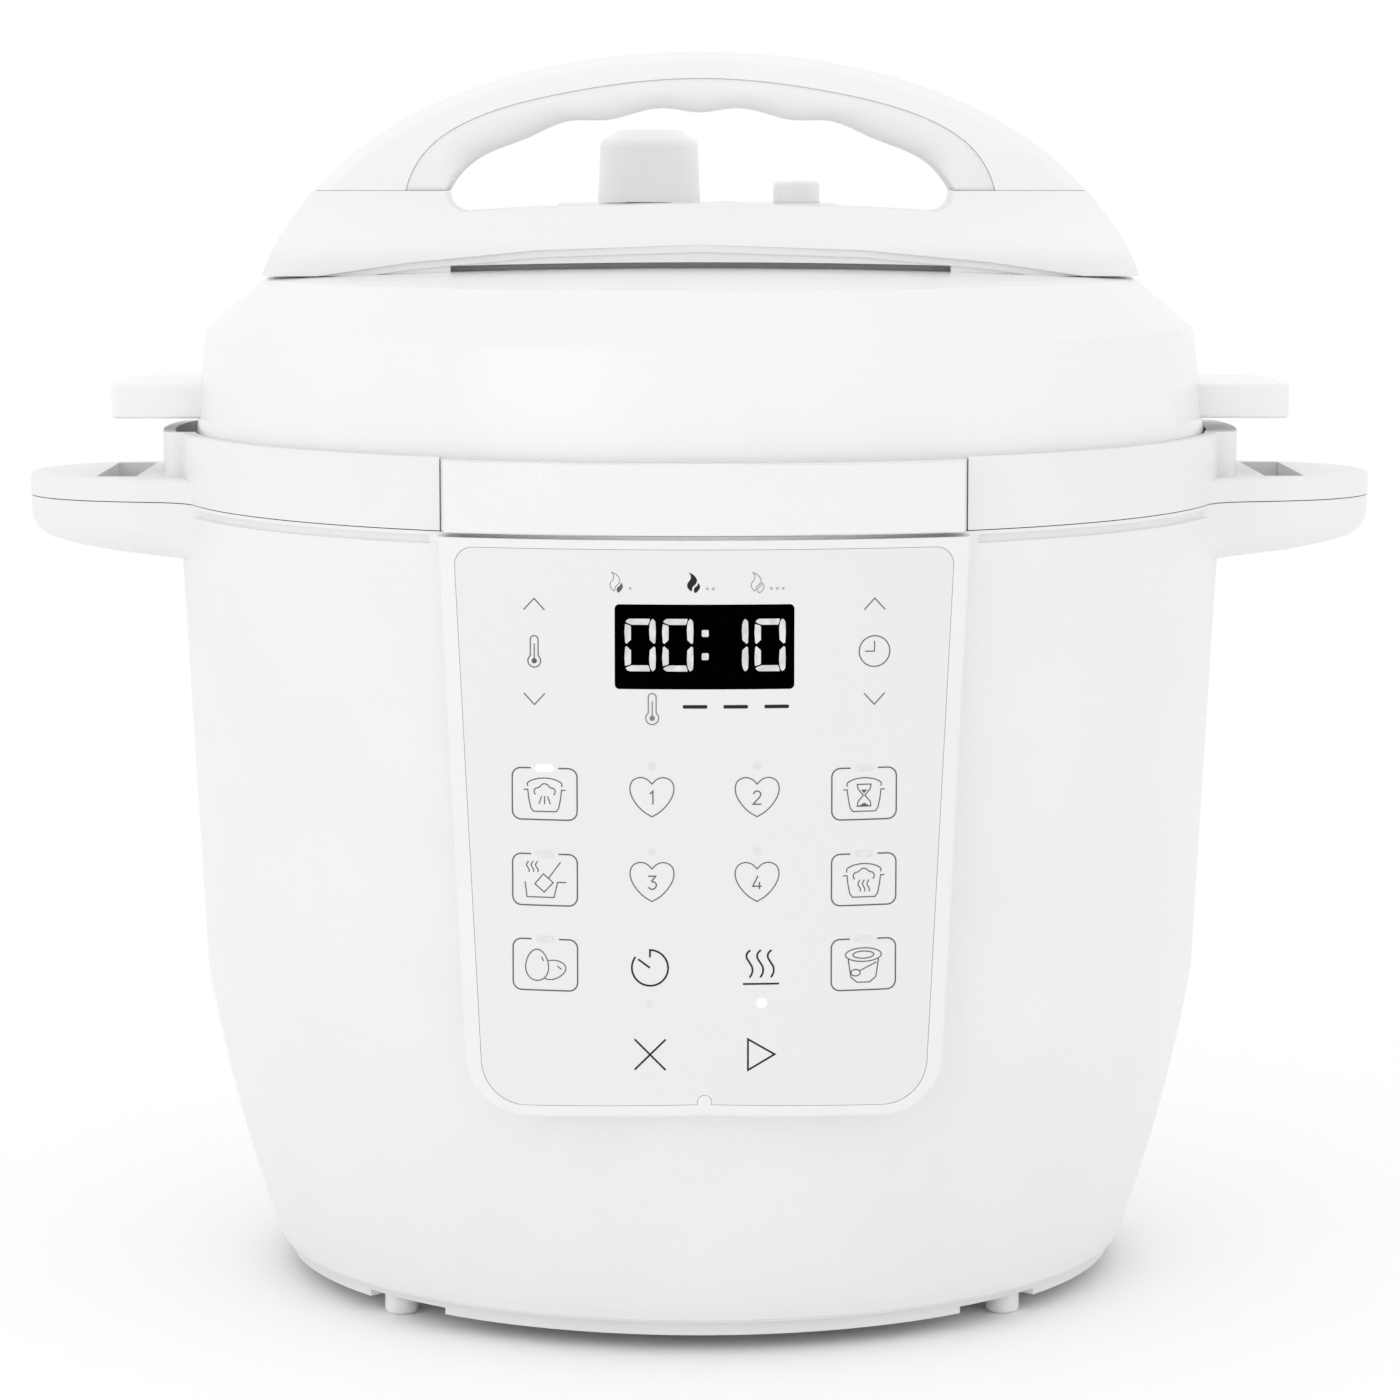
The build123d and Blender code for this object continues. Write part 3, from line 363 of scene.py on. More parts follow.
nodeFinish = {
    "body_white": ["outer_housing", "top_collar", "control_fascia"],
    "plate_white": ["name_plate"],
    "lid_white": ["lid_cover", "valve_platform"],
    "handle_white": ["handle_cover", "handle_bridge"],
    "grip_white": ["handle_grip"],
    "base_white": ["bottom_cover"],
    "pocket_white": ["cup_pocket"],
    "film_white": ["panel_overlay"],
    "lens_black": ["display_window", "display_module"],
    "board_green": ["control_board", "power_board"],
    "board_parts": ["board_parts"],
    "wire_sleeve": ["wiring_harness"],
    "rubber_grey": ["foot_front_left", "foot_front_right", "foot_rear_left", "foot_rear_right"],
    "socket_black": ["power_inlet", "pressure_switch"],
    "lever_grey": ["vent_lever"],
    "valve_milk": ["steam_valve"],
    "button_milk": ["release_button"],
    "cup_frost": ["condensation_cup"],
    "seal_silicone": ["sealing_ring", "float_cap"],
    "pot_steel": ["inner_pot"],
    "lid_steel": ["lid_liner", "anti_block_shield"],
    "ring_steel": ["locking_ring", "heater_bracket"],
    "liner_aluminium": ["inner_liner"],
    "cast_aluminium": ["heating_plate", "temp_sensor", "sensor_guide"],
    "spring_steel": ["sensor_spring", "button_spring", "seal_rack", "lever_pin", "float_valve"],
    "zinc": ["bottom_screws", "lid_screws", "handle_screws", "pipe_nut", "thermal_fuse", "steam_pipe"],
    "brass": ["inlet_pins"],
    "element_sheath": ["heating_element"],
}

for finishName, names in nodeFinish.items():
    for name in names:
        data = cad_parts[name].data
        data.materials.clear()
        data.materials.append(finishes[finishName])
print("frame finished")


panel = {
    "faceY": -147.42,       # front of the film at its centre
    "crownR": 200.0,
    "lift": 0.045,          # thickness of a printed mark
    "lensLift": 0.06,
    "step": 1.4,            # longest straight run of a printed line
    "fine": 0.27,           # line widths
    "line": 0.34,
    "bold": 0.46,
}


def onFilm(x, z, lift):
    back = panel["crownR"] - math.sqrt(panel["crownR"] ** 2 - x * x)
    return Vector((x, panel["faceY"] + back - lift, z)) * mm


def addPiece(name, build, finishName, body):
    mesh = bpy.data.meshes.new(name)
    shape = bmesh.new()
    build(shape)
    bmesh.ops.recalc_face_normals(shape, faces=shape.faces)
    shape.to_mesh(mesh)
    shape.free()
    mesh.materials.append(finishes[finishName])
    piece = bpy.data.objects.new(name, mesh)
    scene.collection.objects.link(piece)
    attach(piece, body)
    return piece


# soft finger grip under the lid handle: the CAD one seen from the front, with its underside rounded
grip = {
    "halfWidth": 16.8,
    "middle": ((0, 329.0), (26, 326.9), (47.5, 322.5), (60.7, 317.8), (70.4, 311.0), (82.0, 301.0)),
    "stations": 110,
    "topEdge": 0.4,         # small rounding against the cover
    "wall": 2.6,            # upright band below it
    "round": 7.0,           # how far the underside rounds in from each side
    "fade": 0.09,           # share of the length at each end where that rounding dies out
    "endRound": 0.6,        # rounding that is left at the very ends
}


def levelAt(points, x):
    for a, b in zip(points, points[1:]):
        if a[0] <= x <= b[0]:
            return a[1] + (b[1] - a[1]) * (x - a[0]) / max(1e-9, b[0] - a[0])
    return points[-1][1]


def gripLine(node, high):
    # corners of the flat front face of the CAD grip that lie above or below its middle line
    made = set()
    for vertex in node.data.vertices:
        place = node.matrix_world @ vertex.co / mm
        if abs(place.y + grip["halfWidth"]) < 0.02 and (place.z > levelAt(grip["middle"], abs(place.x))) == high:
            made.add((round(place.x, 3), round(place.z, 3)))
    return sorted(made)


def alongLine(points, share):
    lengths = [math.dist(a, b) for a, b in zip(points, points[1:])]
    left = share * sum(lengths)
    for a, b, length in zip(points, points[1:], lengths):
        if left <= length:
            return Vector(a).lerp(Vector(b), left / length)
        left -= length
    return Vector(points[-1])


def gripSection(depth, share):
    # half of the cross-section, from the cover downwards, as (half width, depth) points
    ends = min(1.0, share / grip["fade"], (1.0 - share) / grip["fade"])
    fade = ends * ends * (3 - 2 * ends)
    half, edge, least = grip["halfWidth"], grip["topEdge"], grip["endRound"]
    reach = least + (grip["round"] - least) * fade
    drop = least + (depth - grip["wall"] - least) * fade
    points = [(half - edge, 0.0), (half, edge)]
    for k in range(13):
        a = math.radians(k * 7.5)
        points.append((half - reach + reach * math.cos(a), depth - drop + drop * math.sin(a)))
    return points


def buildGrip(shape):
    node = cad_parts["handle_grip"]
    upper, lower = gripLine(node, True), gripLine(node, False)
    rings = []
    for k in range(grip["stations"] + 1):
        share = k / grip["stations"]
        top, low = alongLine(upper, share), alongLine(lower, share)
        down = (low - top).normalized()
        half = gripSection((low - top).length, share)
        ring = []
        for y, depth in half + [(-y, depth) for y, depth in reversed(half)]:
            spot = top + down * depth
            ring.append(shape.verts.new(Vector((spot.x, y, spot.y)) * mm))
        rings.append(ring)
    for a, b in zip(rings, rings[1:]):
        for i in range(len(a)):
            j = (i + 1) % len(a)
            shape.faces.new((a[i], a[j], b[j], b[i])).smooth = True
    shape.faces.new(rings[0])
    shape.faces.new(rings[-1])


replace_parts(addPiece("handle_grip_soft", buildGrip, "grip_white", "lid"), "handle_grip")
print("grip made")


def arc(cx, cz, radius, start, end, count=24, squeeze=1.0):
    # angles in degrees, 0 to the right and 90 up
    points = []
    for k in range(count + 1):
        a = math.radians(start + (end - start) * k / count)
        points.append((cx + radius * math.cos(a), cz + radius * squeeze * math.sin(a)))
    return points


def curve(points, closed=False, count=8):
    # smooth curve through the points
    n = len(points)
    made = []
    for k in range(n if closed else n - 1):
        p = [points[(k + j) % n] if closed else points[min(max(k + j, 0), n - 1)] for j in (-1, 0, 1, 2)]
        for step in range(count):
            t = step / count
            made.append(tuple(0.5 * (2 * p[1][i] + (p[2][i] - p[0][i]) * t
                                     + (2 * p[0][i] - 5 * p[1][i] + 4 * p[2][i] - p[3][i]) * t * t
                                     + (3 * p[1][i] - p[0][i] - 3 * p[2][i] + p[3][i]) * t ** 3) for i in (0, 1)))
    return made if closed else made + [points[-1]]


def edgeOffsets(points, width, closed):
    # left and right edges of a line of the given width, with mitred corners
    n = len(points)
    sides = []
    for k in range(n):
        before = points[k - 1] if closed or k > 0 else points[k]
        after = points[(k + 1) % n] if closed or k < n - 1 else points[k]
        inward, outward = Vector(points[k]) - Vector(before), Vector(after) - Vector(points[k])
        inward = inward.normalized() if inward.length > 1e-9 else outward.normalized()
        outward = outward.normalized() if outward.length > 1e-9 else inward
        normal = Vector((-inward.y - outward.y, inward.x + outward.x))
        if normal.length < 1e-6:
            normal = Vector((-inward.y, inward.x))
        normal.normalize()
        reach = width / 2 / max(0.35, normal.dot(Vector((-inward.y, inward.x))))
        sides.append((Vector(points[k]) + normal * reach, Vector(points[k]) - normal * reach))
    return sides


def shortSteps(points, closed):
    # the same line in steps short enough to follow the crown of the film
    made = []
    for a, b in zip(points, points[1:] + points[:1] if closed else points[1:]):
        steps = max(1, math.ceil(math.dist(a, b) / panel["step"]))
        made += [(a[0] + (b[0] - a[0]) * k / steps, a[1] + (b[1] - a[1]) * k / steps) for k in range(steps)]
    return made if closed else made + [points[-1]]


def stroke(shape, points, width, closed=False):
    # a printed line: a thin closed strip that follows the crown of the film
    lift = panel["lift"]
    rows = []
    for left, right in edgeOffsets(shortSteps(points, closed), width, closed):
        corners = ((left, lift), (right, lift), (right, 0.0), (left, 0.0))
        rows.append([shape.verts.new(onFilm(spot.x, spot.y, height)) for spot, height in corners])
    pairs = list(zip(rows, rows[1:])) + ([(rows[-1], rows[0])] if closed else [])
    for a, b in pairs:
        for i in range(4):
            j = (i + 1) % 4
            shape.faces.new((a[i], a[j], b[j], b[i]))
    if not closed:
        shape.faces.new(rows[0])
        shape.faces.new(reversed(rows[-1]))


def patch(shape, points, lift=None):
    # a printed solid area with a closed outline
    lift = lift or panel["lift"]
    front = [shape.verts.new(onFilm(x, z, lift)) for x, z in points]
    back = [shape.verts.new(onFilm(x, z, 0.0)) for x, z in points]
    for a, b, c in tessellate_polygon([[Vector((x, z, 0)) for x, z in points]]):
        shape.faces.new((front[a], front[b], front[c]))
        shape.faces.new((back[c], back[b], back[a]))
    for k in range(len(points)):
        j = (k + 1) % len(points)
        shape.faces.new((front[k], front[j], back[j], back[k]))


def roundBox(cx, cz, halfX, halfZ, radius):
    points = []
    for sx, sz, start in ((1, 1, 0), (-1, 1, 90), (-1, -1, 180), (1, -1, 270)):
        points += arc(cx + sx * (halfX - radius), cz + sz * (halfZ - radius), radius, start, start + 90, 6)
    return points


def shifted(points, dx, dz):
    return [(x + dx, z + dz) for x, z in points]


# segments of one digit: (across, down) from its top left corner
digits = {
    "height": 13.4,
    "lefts": (2.48, 11.96, 25.8, 35.2),
    "colonX": (21.94, 23.68),
    "colonTops": (6.43, 12.3),
    "windowLeft": -22.65,
    "windowTop": 200.8,
    "inset": 3.58,          # from the top of the window to the digits
    "shown": ("abcdef", "abcdef", "bc", "abcdef"),
}
segmentTop = [(0.27, 0.80), (0.72, 0.28), (1.27, 0.05), (6.40, 0.05), (6.28, 0.80), (5.96, 1.57), (1.88, 1.57),
              (0.80, 1.18)]
segmentRight = [(6.55, 0.70), (7.02, 0.06), (7.50, 0.34), (7.80, 0.84), (7.90, 3.35), (7.78, 6.10), (7.40, 6.37),
                (6.37, 5.40), (6.23, 2.90), (6.35, 1.50)]
segmentLeft = [(0.16, 1.40), (1.40, 1.72), (1.64, 2.10), (1.64, 5.36), (0.54, 6.40), (0.20, 6.10), (0.0, 3.5)]


def flippedDown(points):
    return [(x, digits["height"] - z) for x, z in points]


segments = {"a": segmentTop, "b": segmentRight, "c": flippedDown(segmentRight), "d": flippedDown(segmentTop),
            "e": flippedDown(segmentLeft), "f": segmentLeft}


def buildDigits(shape):
    for left, shown in zip(digits["lefts"], digits["shown"]):
        for key in shown:
            patch(shape, [(digits["windowLeft"] + left + x, digits["windowTop"] - digits["inset"] - z)
                          for x, z in segments[key]], panel["lensLift"])
    x0, x1 = (digits["windowLeft"] + x for x in digits["colonX"])
    for top in digits["colonTops"]:
        centre = digits["windowTop"] - top - (x1 - x0) / 2
        patch(shape, roundBox((x0 + x1) / 2, centre, (x1 - x0) / 2, (x1 - x0) / 2, 0.35), panel["lensLift"])


addPiece("display_digits", buildDigits, "segment_glow", "base")


# setting arrows, thermometers and clock beside the display
settings = {"columnX": 43.0, "arrowTops": 200.5, "arrowFeet": 176.4, "middleZ": 188.5}


def thermometer(shape, cx, cz, height, width, bulb):
    r = height / 2
    tube = width * 0.30
    foot = cz - r + bulb
    rise = math.degrees(math.asin(tube / bulb))
    line = arc(cx, foot, bulb, 90 - rise, -270 + rise, 28)
    line += arc(cx, cz + r - tube, tube, 180, 0, 12)
    stroke(shape, line, panel["fine"], True)
    stroke(shape, [(cx, foot), (cx, cz + r - tube * 2.0)], panel["fine"])
    patch(shape, arc(cx, foot, bulb * 0.42, 0, 345, 23))


def buildArrows(shape):
    for side in (-1, 1):
        x = side * settings["columnX"]
        for z, turn in ((settings["arrowTops"], 1), (settings["arrowFeet"], -1)):
            stroke(shape, [(x - 2.65, z - 1.45 * turn), (x, z + 1.45 * turn), (x + 2.65, z - 1.45 * turn)],
                   panel["fine"])


def buildThermometer(shape):
    thermometer(shape, -settings["columnX"], settings["middleZ"], 8.0, 3.3, 1.62)


def buildDisplayThermometer(shape):
    thermometer(shape, -13.2, 174.3, 7.9, 3.3, 1.62)


def buildClock(shape):
    x, z = settings["columnX"], settings["middleZ"]
    stroke(shape, arc(x, z, 3.9, 0, 352, 44), panel["fine"], True)
    stroke(shape, [(x, z + 2.6), (x, z), (x - 2.4, z)], panel["fine"])


addPiece("setting_arrows", buildArrows, "ink_grey", "base")
addPiece("setting_thermometer", buildThermometer, "ink_grey", "base")
addPiece("setting_clock", buildClock, "ink_grey", "base")
addPiece("display_thermometer", buildDisplayThermometer, "ink_soft", "base")


# stage flames above the display, each beside a row of dots, and the level dashes below it
stageMarks = {"flameX": (-22.3, -2.9, 13.2), "flameZ": 206.3, "dashX": (-2.4, 7.85, 18.2), "dashZ": 174.9,
              "outline": 0.16}
flameTall = curve([(-1.05, 2.55), (0.15, 1.95), (0.98, 0.75), (0.72, -0.25), (-0.10, -1.10), (-0.42, -2.15),
                   (-1.35, -1.25), (-1.38, -0.20), (-0.62, 0.95), (-0.62, 1.90)], True, 5)
flameLow = curve([(1.32, -0.10), (1.72, -0.80), (1.58, -1.60), (0.62, -2.60), (0.20, -1.90), (0.45, -1.20),
                  (1.05, -0.75)], True, 5)


def buildFlames(shape):
    for k in (0, 2):
        x, z = stageMarks["flameX"][k], stageMarks["flameZ"]
        stroke(shape, shifted(flameTall, x, z), stageMarks["outline"], True)
        if k == 2:
            stroke(shape, shifted(flameLow, x, z), stageMarks["outline"], True)


def buildFlameFill(shape):
    patch(shape, shifted(flameLow, stageMarks["flameX"][0], stageMarks["flameZ"]))


def buildFlameDark(shape):
    for part in (flameTall, flameLow):
        patch(shape, shifted(part, stageMarks["flameX"][1], stageMarks["flameZ"]))


def buildStageDots(shape):
    for k, x in enumerate(stageMarks["flameX"]):
        for j in range(k + 1):
            patch(shape, arc(x + 3.6 + j * 1.5, stageMarks["flameZ"] - 1.5, 0.36, 0, 330, 11))


def buildDashes(shape):
    for x in stageMarks["dashX"]:
        patch(shape, roundBox(x, stageMarks["dashZ"], 3.1, 0.45, 0.35))


addPiece("stage_flames", buildFlames, "ink_soft", "base")
addPiece("stage_flame_half", buildFlameFill, "ink_grey", "base")
addPiece("stage_flame_full", buildFlameDark, "ink_dark", "base")
addPiece("stage_dots", buildStageDots, "ink_pale", "base")
addPiece("level_dashes", buildDashes, "ink_dark", "base")


# programme keys: a box with a lamp in its top line and a drawing inside
keys = {"columnX": 40.5, "rows": (152.2, 130.2, 108.3), "halfX": 8.25, "halfZ": 6.6, "corner": 2.2, "gap": 3.5}


def keyBox(shape, cx, cz):
    line = roundBox(cx, cz, keys["halfX"], keys["halfZ"], keys["corner"])
    corner = len(line) // 4
    top = cz + keys["halfZ"]
    walk = line[corner:] + line[:corner]
    stroke(shape, [(cx - keys["gap"], top)] + walk + [(cx + keys["gap"], top)], panel["line"])


def potShape(shape, cx, cz):
    # open pot with side handles and a loose lid
    half = [(5.3, 1.05), (4.3, 1.05), (4.05, -1.2), (3.55, -3.6), (2.9, -4.5)]
    body = [(cx - x, cz + z) for x, z in half] + [(cx + x, cz + z) for x, z in reversed(half)]
    stroke(shape, body, panel["fine"])
    lid = curve([(-4.3, 1.9), (-4.25, 2.85), (-2.4, 3.75), (0, 4.05), (2.4, 3.75), (4.25, 2.85), (4.3, 1.9)])
    stroke(shape, shifted(lid, cx, cz), panel["fine"])


def risingWave(x, z, height, sway, count=10):
    points = []
    for k in range(count + 1):
        t = k / count
        points.append((x + sway * math.sin(t * 2 * math.pi + 0.6), z + height * t))
    return points


def buildSteamPot(shape):
    x, z = -keys["columnX"], keys["rows"][0]
    keyBox(shape, x, z)
    potShape(shape, x, z)
    puff = arc(x - 1.75, z + 0.6, 0.95, 235, 80, 10) + arc(x, z + 1.4, 1.2, 155, 25, 10)
    puff += arc(x + 1.75, z + 0.6, 0.95, 100, -55, 10)
    stroke(shape, puff, panel["fine"])
    for lean in (-1, 0, 1):
        stroke(shape, [(x + lean * 0.75, z - 0.6), (x + lean * 1.45, z - 2.6)], panel["fine"])


def buildStirPan(shape):
    x, z = -keys["columnX"], keys["rows"][1]
    keyBox(shape, x, z)
    stroke(shape, [(x - 5.1, z - 0.6), (x - 4.6, z - 4.5), (x + 2.3, z - 4.5), (x + 3.2, z - 0.6),
                   (x + 5.4, z - 0.6)], panel["fine"])
    stroke(shape, [(x - 0.4, z + 1.5), (x - 2.6, z - 1.1), (x - 0.2, z - 3.2), (x + 2.1, z - 0.7)],
           panel["fine"], True)
    stroke(shape, [(x + 0.9, z + 0.4), (x + 4.0, z + 4.6)], panel["fine"])
    for k in (-1, 0, 1):
        stroke(shape, risingWave(x - 3.2 + k * 1.15, z + 1.9, 2.8, 0.35), panel["fine"])


def egg(x, z, scale, lean):
    points = []
    for k in range(36):
        a = math.radians(k * 10)
        px = 2.6 * math.cos(a) * (1 - 0.14 * math.sin(a))
        pz = 3.6 * math.sin(a)
        points.append((x + scale * (px * math.cos(lean) - pz * math.sin(lean)),
                       z + scale * (px * math.sin(lean) + pz * math.cos(lean))))
    return points


def buildEggs(shape):
    x, z = -keys["columnX"], keys["rows"][2]
    keyBox(shape, x, z)
    stroke(shape, egg(x - 2.1, z - 0.1, 1.12, 0.0), panel["fine"], True)
    # the second egg lies behind the first
    behind = egg(x + 1.9, z - 1.2, 0.94, -1.35)
    seen = [p for p in behind if ((p[0] - x + 2.1) / 2.95) ** 2 + ((p[1] - z + 0.1) / 4.05) ** 2 > 1.03]
    start = max(range(len(seen)), key=lambda k: math.dist(seen[k - 1], seen[k]))
    stroke(shape, seen[start:] + seen[:start], panel["fine"])
    stroke(shape, [(x - 1.0, z + 2.0), (x - 0.4, z + 0.9)], panel["fine"])
    stroke(shape, [(x + 3.1, z - 0.2), (x + 4.1, z - 1.1)], panel["fine"])


def buildHourPot(shape):
    x, z = keys["columnX"], keys["rows"][0]
    keyBox(shape, x, z)
    potShape(shape, x, z)
    glass = [(-1.75, 2.4), (1.75, 2.4), (1.55, 1.2), (0.2, -0.4), (1.55, -2.0), (1.75, -3.2), (-1.75, -3.2),
             (-1.55, -2.0), (-0.2, -0.4), (-1.55, 1.2)]
    stroke(shape, shifted(glass, x, z), panel["fine"], True)
    patch(shape, shifted([(-0.8, 1.0), (0.8, 1.0), (0.0, 0.1)], x, z))
    patch(shape, shifted([(-1.3, -3.1), (0.0, -2.3), (1.3, -3.1)], x, z))


def buildSteamer(shape):
    x, z = keys["columnX"], keys["rows"][1]
    keyBox(shape, x, z)
    potShape(shape, x, z)
    cloud = arc(x - 1.7, z + 0.9, 1.0, 235, 85, 10) + arc(x, z + 1.6, 1.25, 150, 30, 10)
    cloud += arc(x + 1.7, z + 0.9, 1.0, 95, -55, 10)
    stroke(shape, cloud, panel["fine"])
    for k in (-1, 0, 1):
        stroke(shape, risingWave(x + k * 1.15, z - 3.1, 3.0, 0.32), panel["fine"])


def buildCup(shape):
    x, z = keys["columnX"], keys["rows"][2]
    keyBox(shape, x, z)
    stroke(shape, arc(x, z + 2.5, 4.6, 0, 350, 40, 0.38), panel["fine"], True)
    stroke(shape, arc(x, z + 2.5, 2.7, 0, 350, 32, 0.34), panel["fine"], True)
    stroke(shape, [(x - 3.9, z + 1.4), (x - 3.2, z - 3.3), (x - 1.6, z - 4.6), (x + 1.6, z - 4.6),
                   (x + 3.2, z - 3.3), (x + 3.9, z + 1.4)], panel["fine"])
    stroke(shape, arc(x - 2.0, z - 2.1, 1.2, 30, 370, 20, 0.7), panel["fine"], True)
    stroke(shape, [(x - 0.9, z - 1.6), (x + 3.4, z + 0.5)], panel["fine"])


for name, build in (("key_steam_pot", buildSteamPot), ("key_stir_pan", buildStirPan), ("key_eggs", buildEggs),
                    ("key_hour_pot", buildHourPot), ("key_steamer", buildSteamer), ("key_cup", buildCup)):
    addPiece(name, build, "ink_grey", "base")


# favourite keys: hearts numbered 1 to 4, and the timer, keep-warm, cancel and start keys
hearts = {"columnX": 13.3, "rows": (151.9, 130.2), "line": 0.3}
heartHalf = [(0.0, 3.30), (1.35, 4.55), (3.10, 4.95), (4.85, 4.15), (5.55, 2.40), (5.20, 0.30), (3.90, -1.90),
             (2.10, -3.75), (0.0, -5.05)]
numerals = {
    "1": [[(-0.55, 0.95), (0.25, 1.7), (0.25, -1.7)]],
    "2": [curve([(-0.95, 0.95), (-0.45, 1.6), (0.3, 1.65), (0.9, 1.05), (0.65, 0.2), (-0.3, -0.85), (-1.0, -1.65)])
          + [(1.1, -1.65)]],
    "3": [curve([(-1.0, 1.65), (0.95, 1.65)], False, 1) + curve([(0.95, 1.65), (-0.05, 0.35), (0.7, 0.1),
          (1.1, -0.65), (0.7, -1.45), (-0.1, -1.7), (-0.95, -1.2)])[1:]],
    "4": [[(0.25, 1.75), (-1.1, -0.95), (1.2, -0.95)], [(0.6, 0.15), (0.6, -1.7)]],
}


def heartLine(cx, cz):
    half = curve(heartHalf, False, 6)
    line = half + [(-x, z) for x, z in reversed(half[1:-1])]
    return shifted(line, cx, cz)


def buildHeart(number, cx, cz):
    def build(shape):
        stroke(shape, heartLine(cx, cz), panel["fine"], True)
        for line in numerals[number]:
            stroke(shape, shifted(line, cx, cz - 0.2), hearts["line"])
    return build


for number, cx, cz in (("1", -1, 0), ("2", 1, 0), ("3", -1, 1), ("4", 1, 1)):
    addPiece("heart_" + number, buildHeart(number, cx * hearts["columnX"], hearts["rows"][cz]), "ink_grey",
             "base")

lowKeys = {"leftX": -13.85, "rightX": 14.35, "timerZ": 108.1, "cancelZ": 85.7}


def buildTimer(shape):
    x, z = lowKeys["leftX"], lowKeys["timerZ"]
    stroke(shape, [(x, z + 2.7)] + arc(x, z, 4.6, 90, -217, 48), panel["bold"])
    stroke(shape, [(x, z), (x - 3.0, z + 2.2)], panel["bold"])


def buildKeepWarm(shape):
    x, z = lowKeys["rightX"], lowKeys["timerZ"]
    for k in (-1, 0, 1):
        wave = curve([(0.25, 4.15), (-0.55, 3.3), (-0.65, 2.2), (0.1, 0.9), (0.75, -0.3), (0.75, -1.7),
                      (0.1, -2.9)])
        stroke(shape, shifted(wave, x + k * 2.7 - 0.3, z + 0.4), panel["bold"])
    stroke(shape, [(x - 4.6, z - 4.15), (x + 4.6, z - 4.15)], panel["bold"])


def buildCancel(shape):
    x, z = lowKeys["leftX"], lowKeys["cancelZ"]
    stroke(shape, [(x - 3.95, z - 3.95), (x + 3.95, z + 3.95)], panel["bold"])
    stroke(shape, [(x - 3.95, z + 3.95), (x + 3.95, z - 3.95)], panel["bold"])


def buildStart(shape):
    x, z = lowKeys["rightX"], lowKeys["cancelZ"]
    stroke(shape, [(x - 3.3, z + 4.0), (x + 3.5, z), (x - 3.3, z - 4.0)], panel["bold"], True)


addPiece("key_timer", buildTimer, "ink_dark", "base")
addPiece("key_keep_warm", buildKeepWarm, "ink_dark", "base")
addPiece("key_cancel", buildCancel, "ink_dark", "base")
addPiece("key_start", buildStart, "ink_dark", "base")


# lamps behind the film
lamps = {"keyHalf": (2.3, 0.9), "dotR": 1.0, "heartDots": (159.8, 138.0), "lowDotZ": 99.0}


def keyLamp(shape, side, row):
    x, z = side * keys["columnX"], keys["rows"][row] + keys["halfZ"]
    patch(shape, roundBox(x, z, *lamps["keyHalf"], 0.85))


def buildLitLamps(shape):
    keyLamp(shape, -1, 0)
    patch(shape, arc(lowKeys["rightX"] + 0.2, lamps["lowDotZ"], 1.3, 0, 345, 23))


def buildDimLamps(shape):
    for side, row in ((-1, 1), (-1, 2), (1, 0), (1, 1), (1, 2)):
        keyLamp(shape, side, row)
    for side in (-1, 1):
        for z in lamps["heartDots"]:
            patch(shape, arc(side * hearts["columnX"], z, lamps["dotR"], 0, 345, 23))
    patch(shape, arc(lowKeys["leftX"], lamps["lowDotZ"], lamps["dotR"], 0, 345, 23))


addPiece("lamps_lit", buildLitLamps, "lamp_glow", "base")
addPiece("lamps_off", buildDimLamps, "lamp_dim", "base")
print("panel marks made")


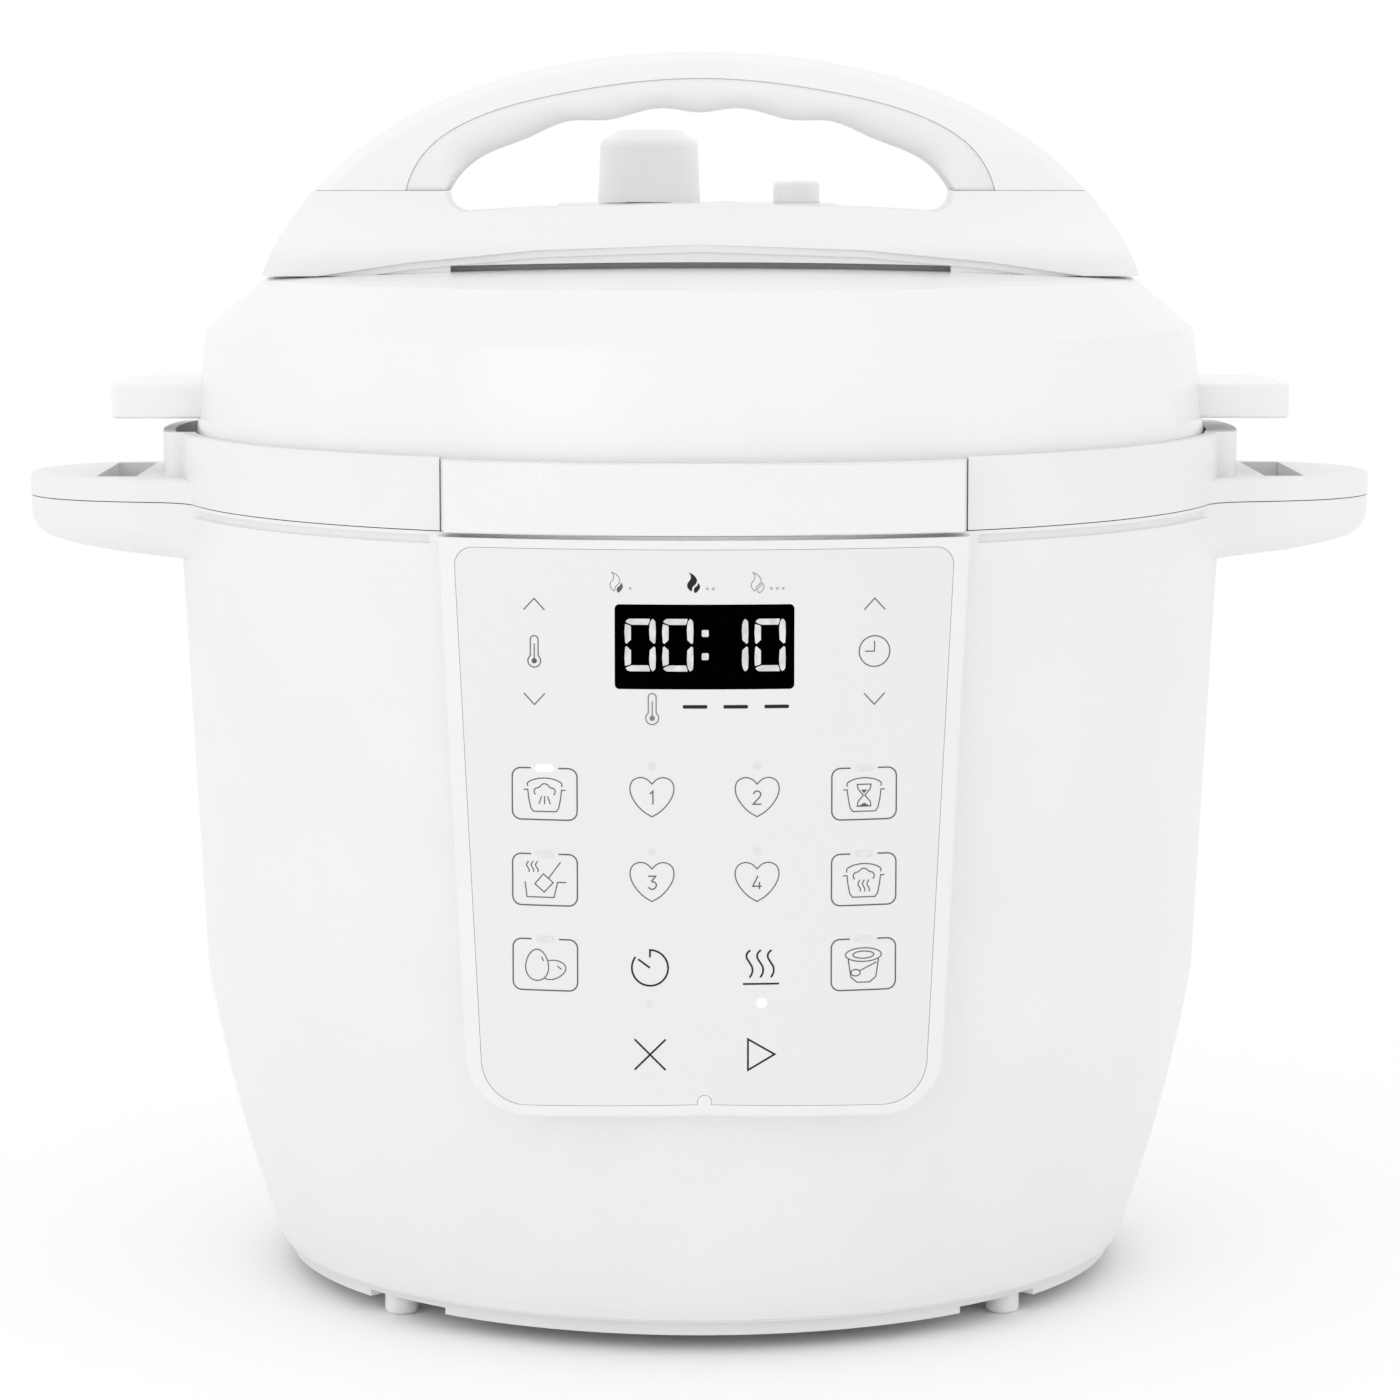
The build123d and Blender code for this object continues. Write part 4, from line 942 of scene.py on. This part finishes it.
studio = {
    "floor": 0.992,
    "floorHalf": 9.0,
    "sky": 1.005,
    "lamps": (
        # place, size and power of each soft box, all aimed at the middle of the cooker
        {"name": "soft_top", "at": (0.0, -0.9, 2.3), "size": 2.2, "power": 1.2},
        {"name": "soft_left", "at": (-1.5, -2.2, 1.0), "size": 1.6, "power": 4.8},
        {"name": "soft_right", "at": (1.6, -2.0, 1.0), "size": 1.6, "power": 0.5},
    ),
}
camera = {"turn": -0.448, "distance": 1.300, "height": 0.31735, "pitch": 6.96, "lens": 118.51, "sensor": 36.0}


def floorFinish():
    finish = Finish("studio_floor", {"Specular IOR Level": 0.1})
    drift = finish.noise(400.0, 2.0)
    finish.colour(finish.mix(drift, grey(studio["floor"]), grey(studio["floor"] + 0.01)))
    finish.roughness(0.75 + drift * 0.1)
    return finish.material


def makeFloor():
    half = studio["floorHalf"]
    mesh = bpy.data.meshes.new("studio_floor")
    mesh.from_pydata([(-half, -half, 0), (half, -half, 0), (half, half, 0), (-half, half, 0)], [], [(0, 1, 2, 3)])
    mesh.materials.append(floorFinish())
    floor = bpy.data.objects.new("studio_floor", mesh)
    scene.collection.objects.link(floor)


def makeSky():
    scene.world = bpy.data.worlds.new("studio_sky")
    scene.world.use_nodes = True
    back = scene.world.node_tree.nodes["Background"]
    back.inputs["Color"].default_value = (1.0, 1.0, 1.0, 1.0)
    back.inputs["Strength"].default_value = studio["sky"]
    scene.view_settings.view_transform = "Standard"


def makeLamps():
    aim = Vector((0.0, 0.0, 0.17))
    for lamp in studio["lamps"]:
        light = bpy.data.lights.new(lamp["name"], "AREA")
        light.shape = "SQUARE"
        light.size = lamp["size"]
        light.energy = lamp["power"]
        holder = bpy.data.objects.new(lamp["name"], light)
        holder.location = lamp["at"]
        holder.rotation_euler = (aim - Vector(lamp["at"])).to_track_quat("-Z", "Y").to_euler()
        scene.collection.objects.link(holder)


def makeCamera():
    view = bpy.data.cameras.new("camera")
    view.lens = camera["lens"]
    view.sensor_width = camera["sensor"]
    view.clip_end = 60.0
    holder = bpy.data.objects.new("camera", view)
    turn = math.radians(camera["turn"])
    reach = camera["distance"]
    holder.location = (reach * math.sin(turn), -reach * math.cos(turn), camera["height"])
    holder.rotation_euler = (math.radians(90.0 - camera["pitch"]), 0.0, turn)
    scene.collection.objects.link(holder)
    scene.camera = holder


makeFloor()
makeSky()
makeLamps()
makeCamera()
print("studio made")
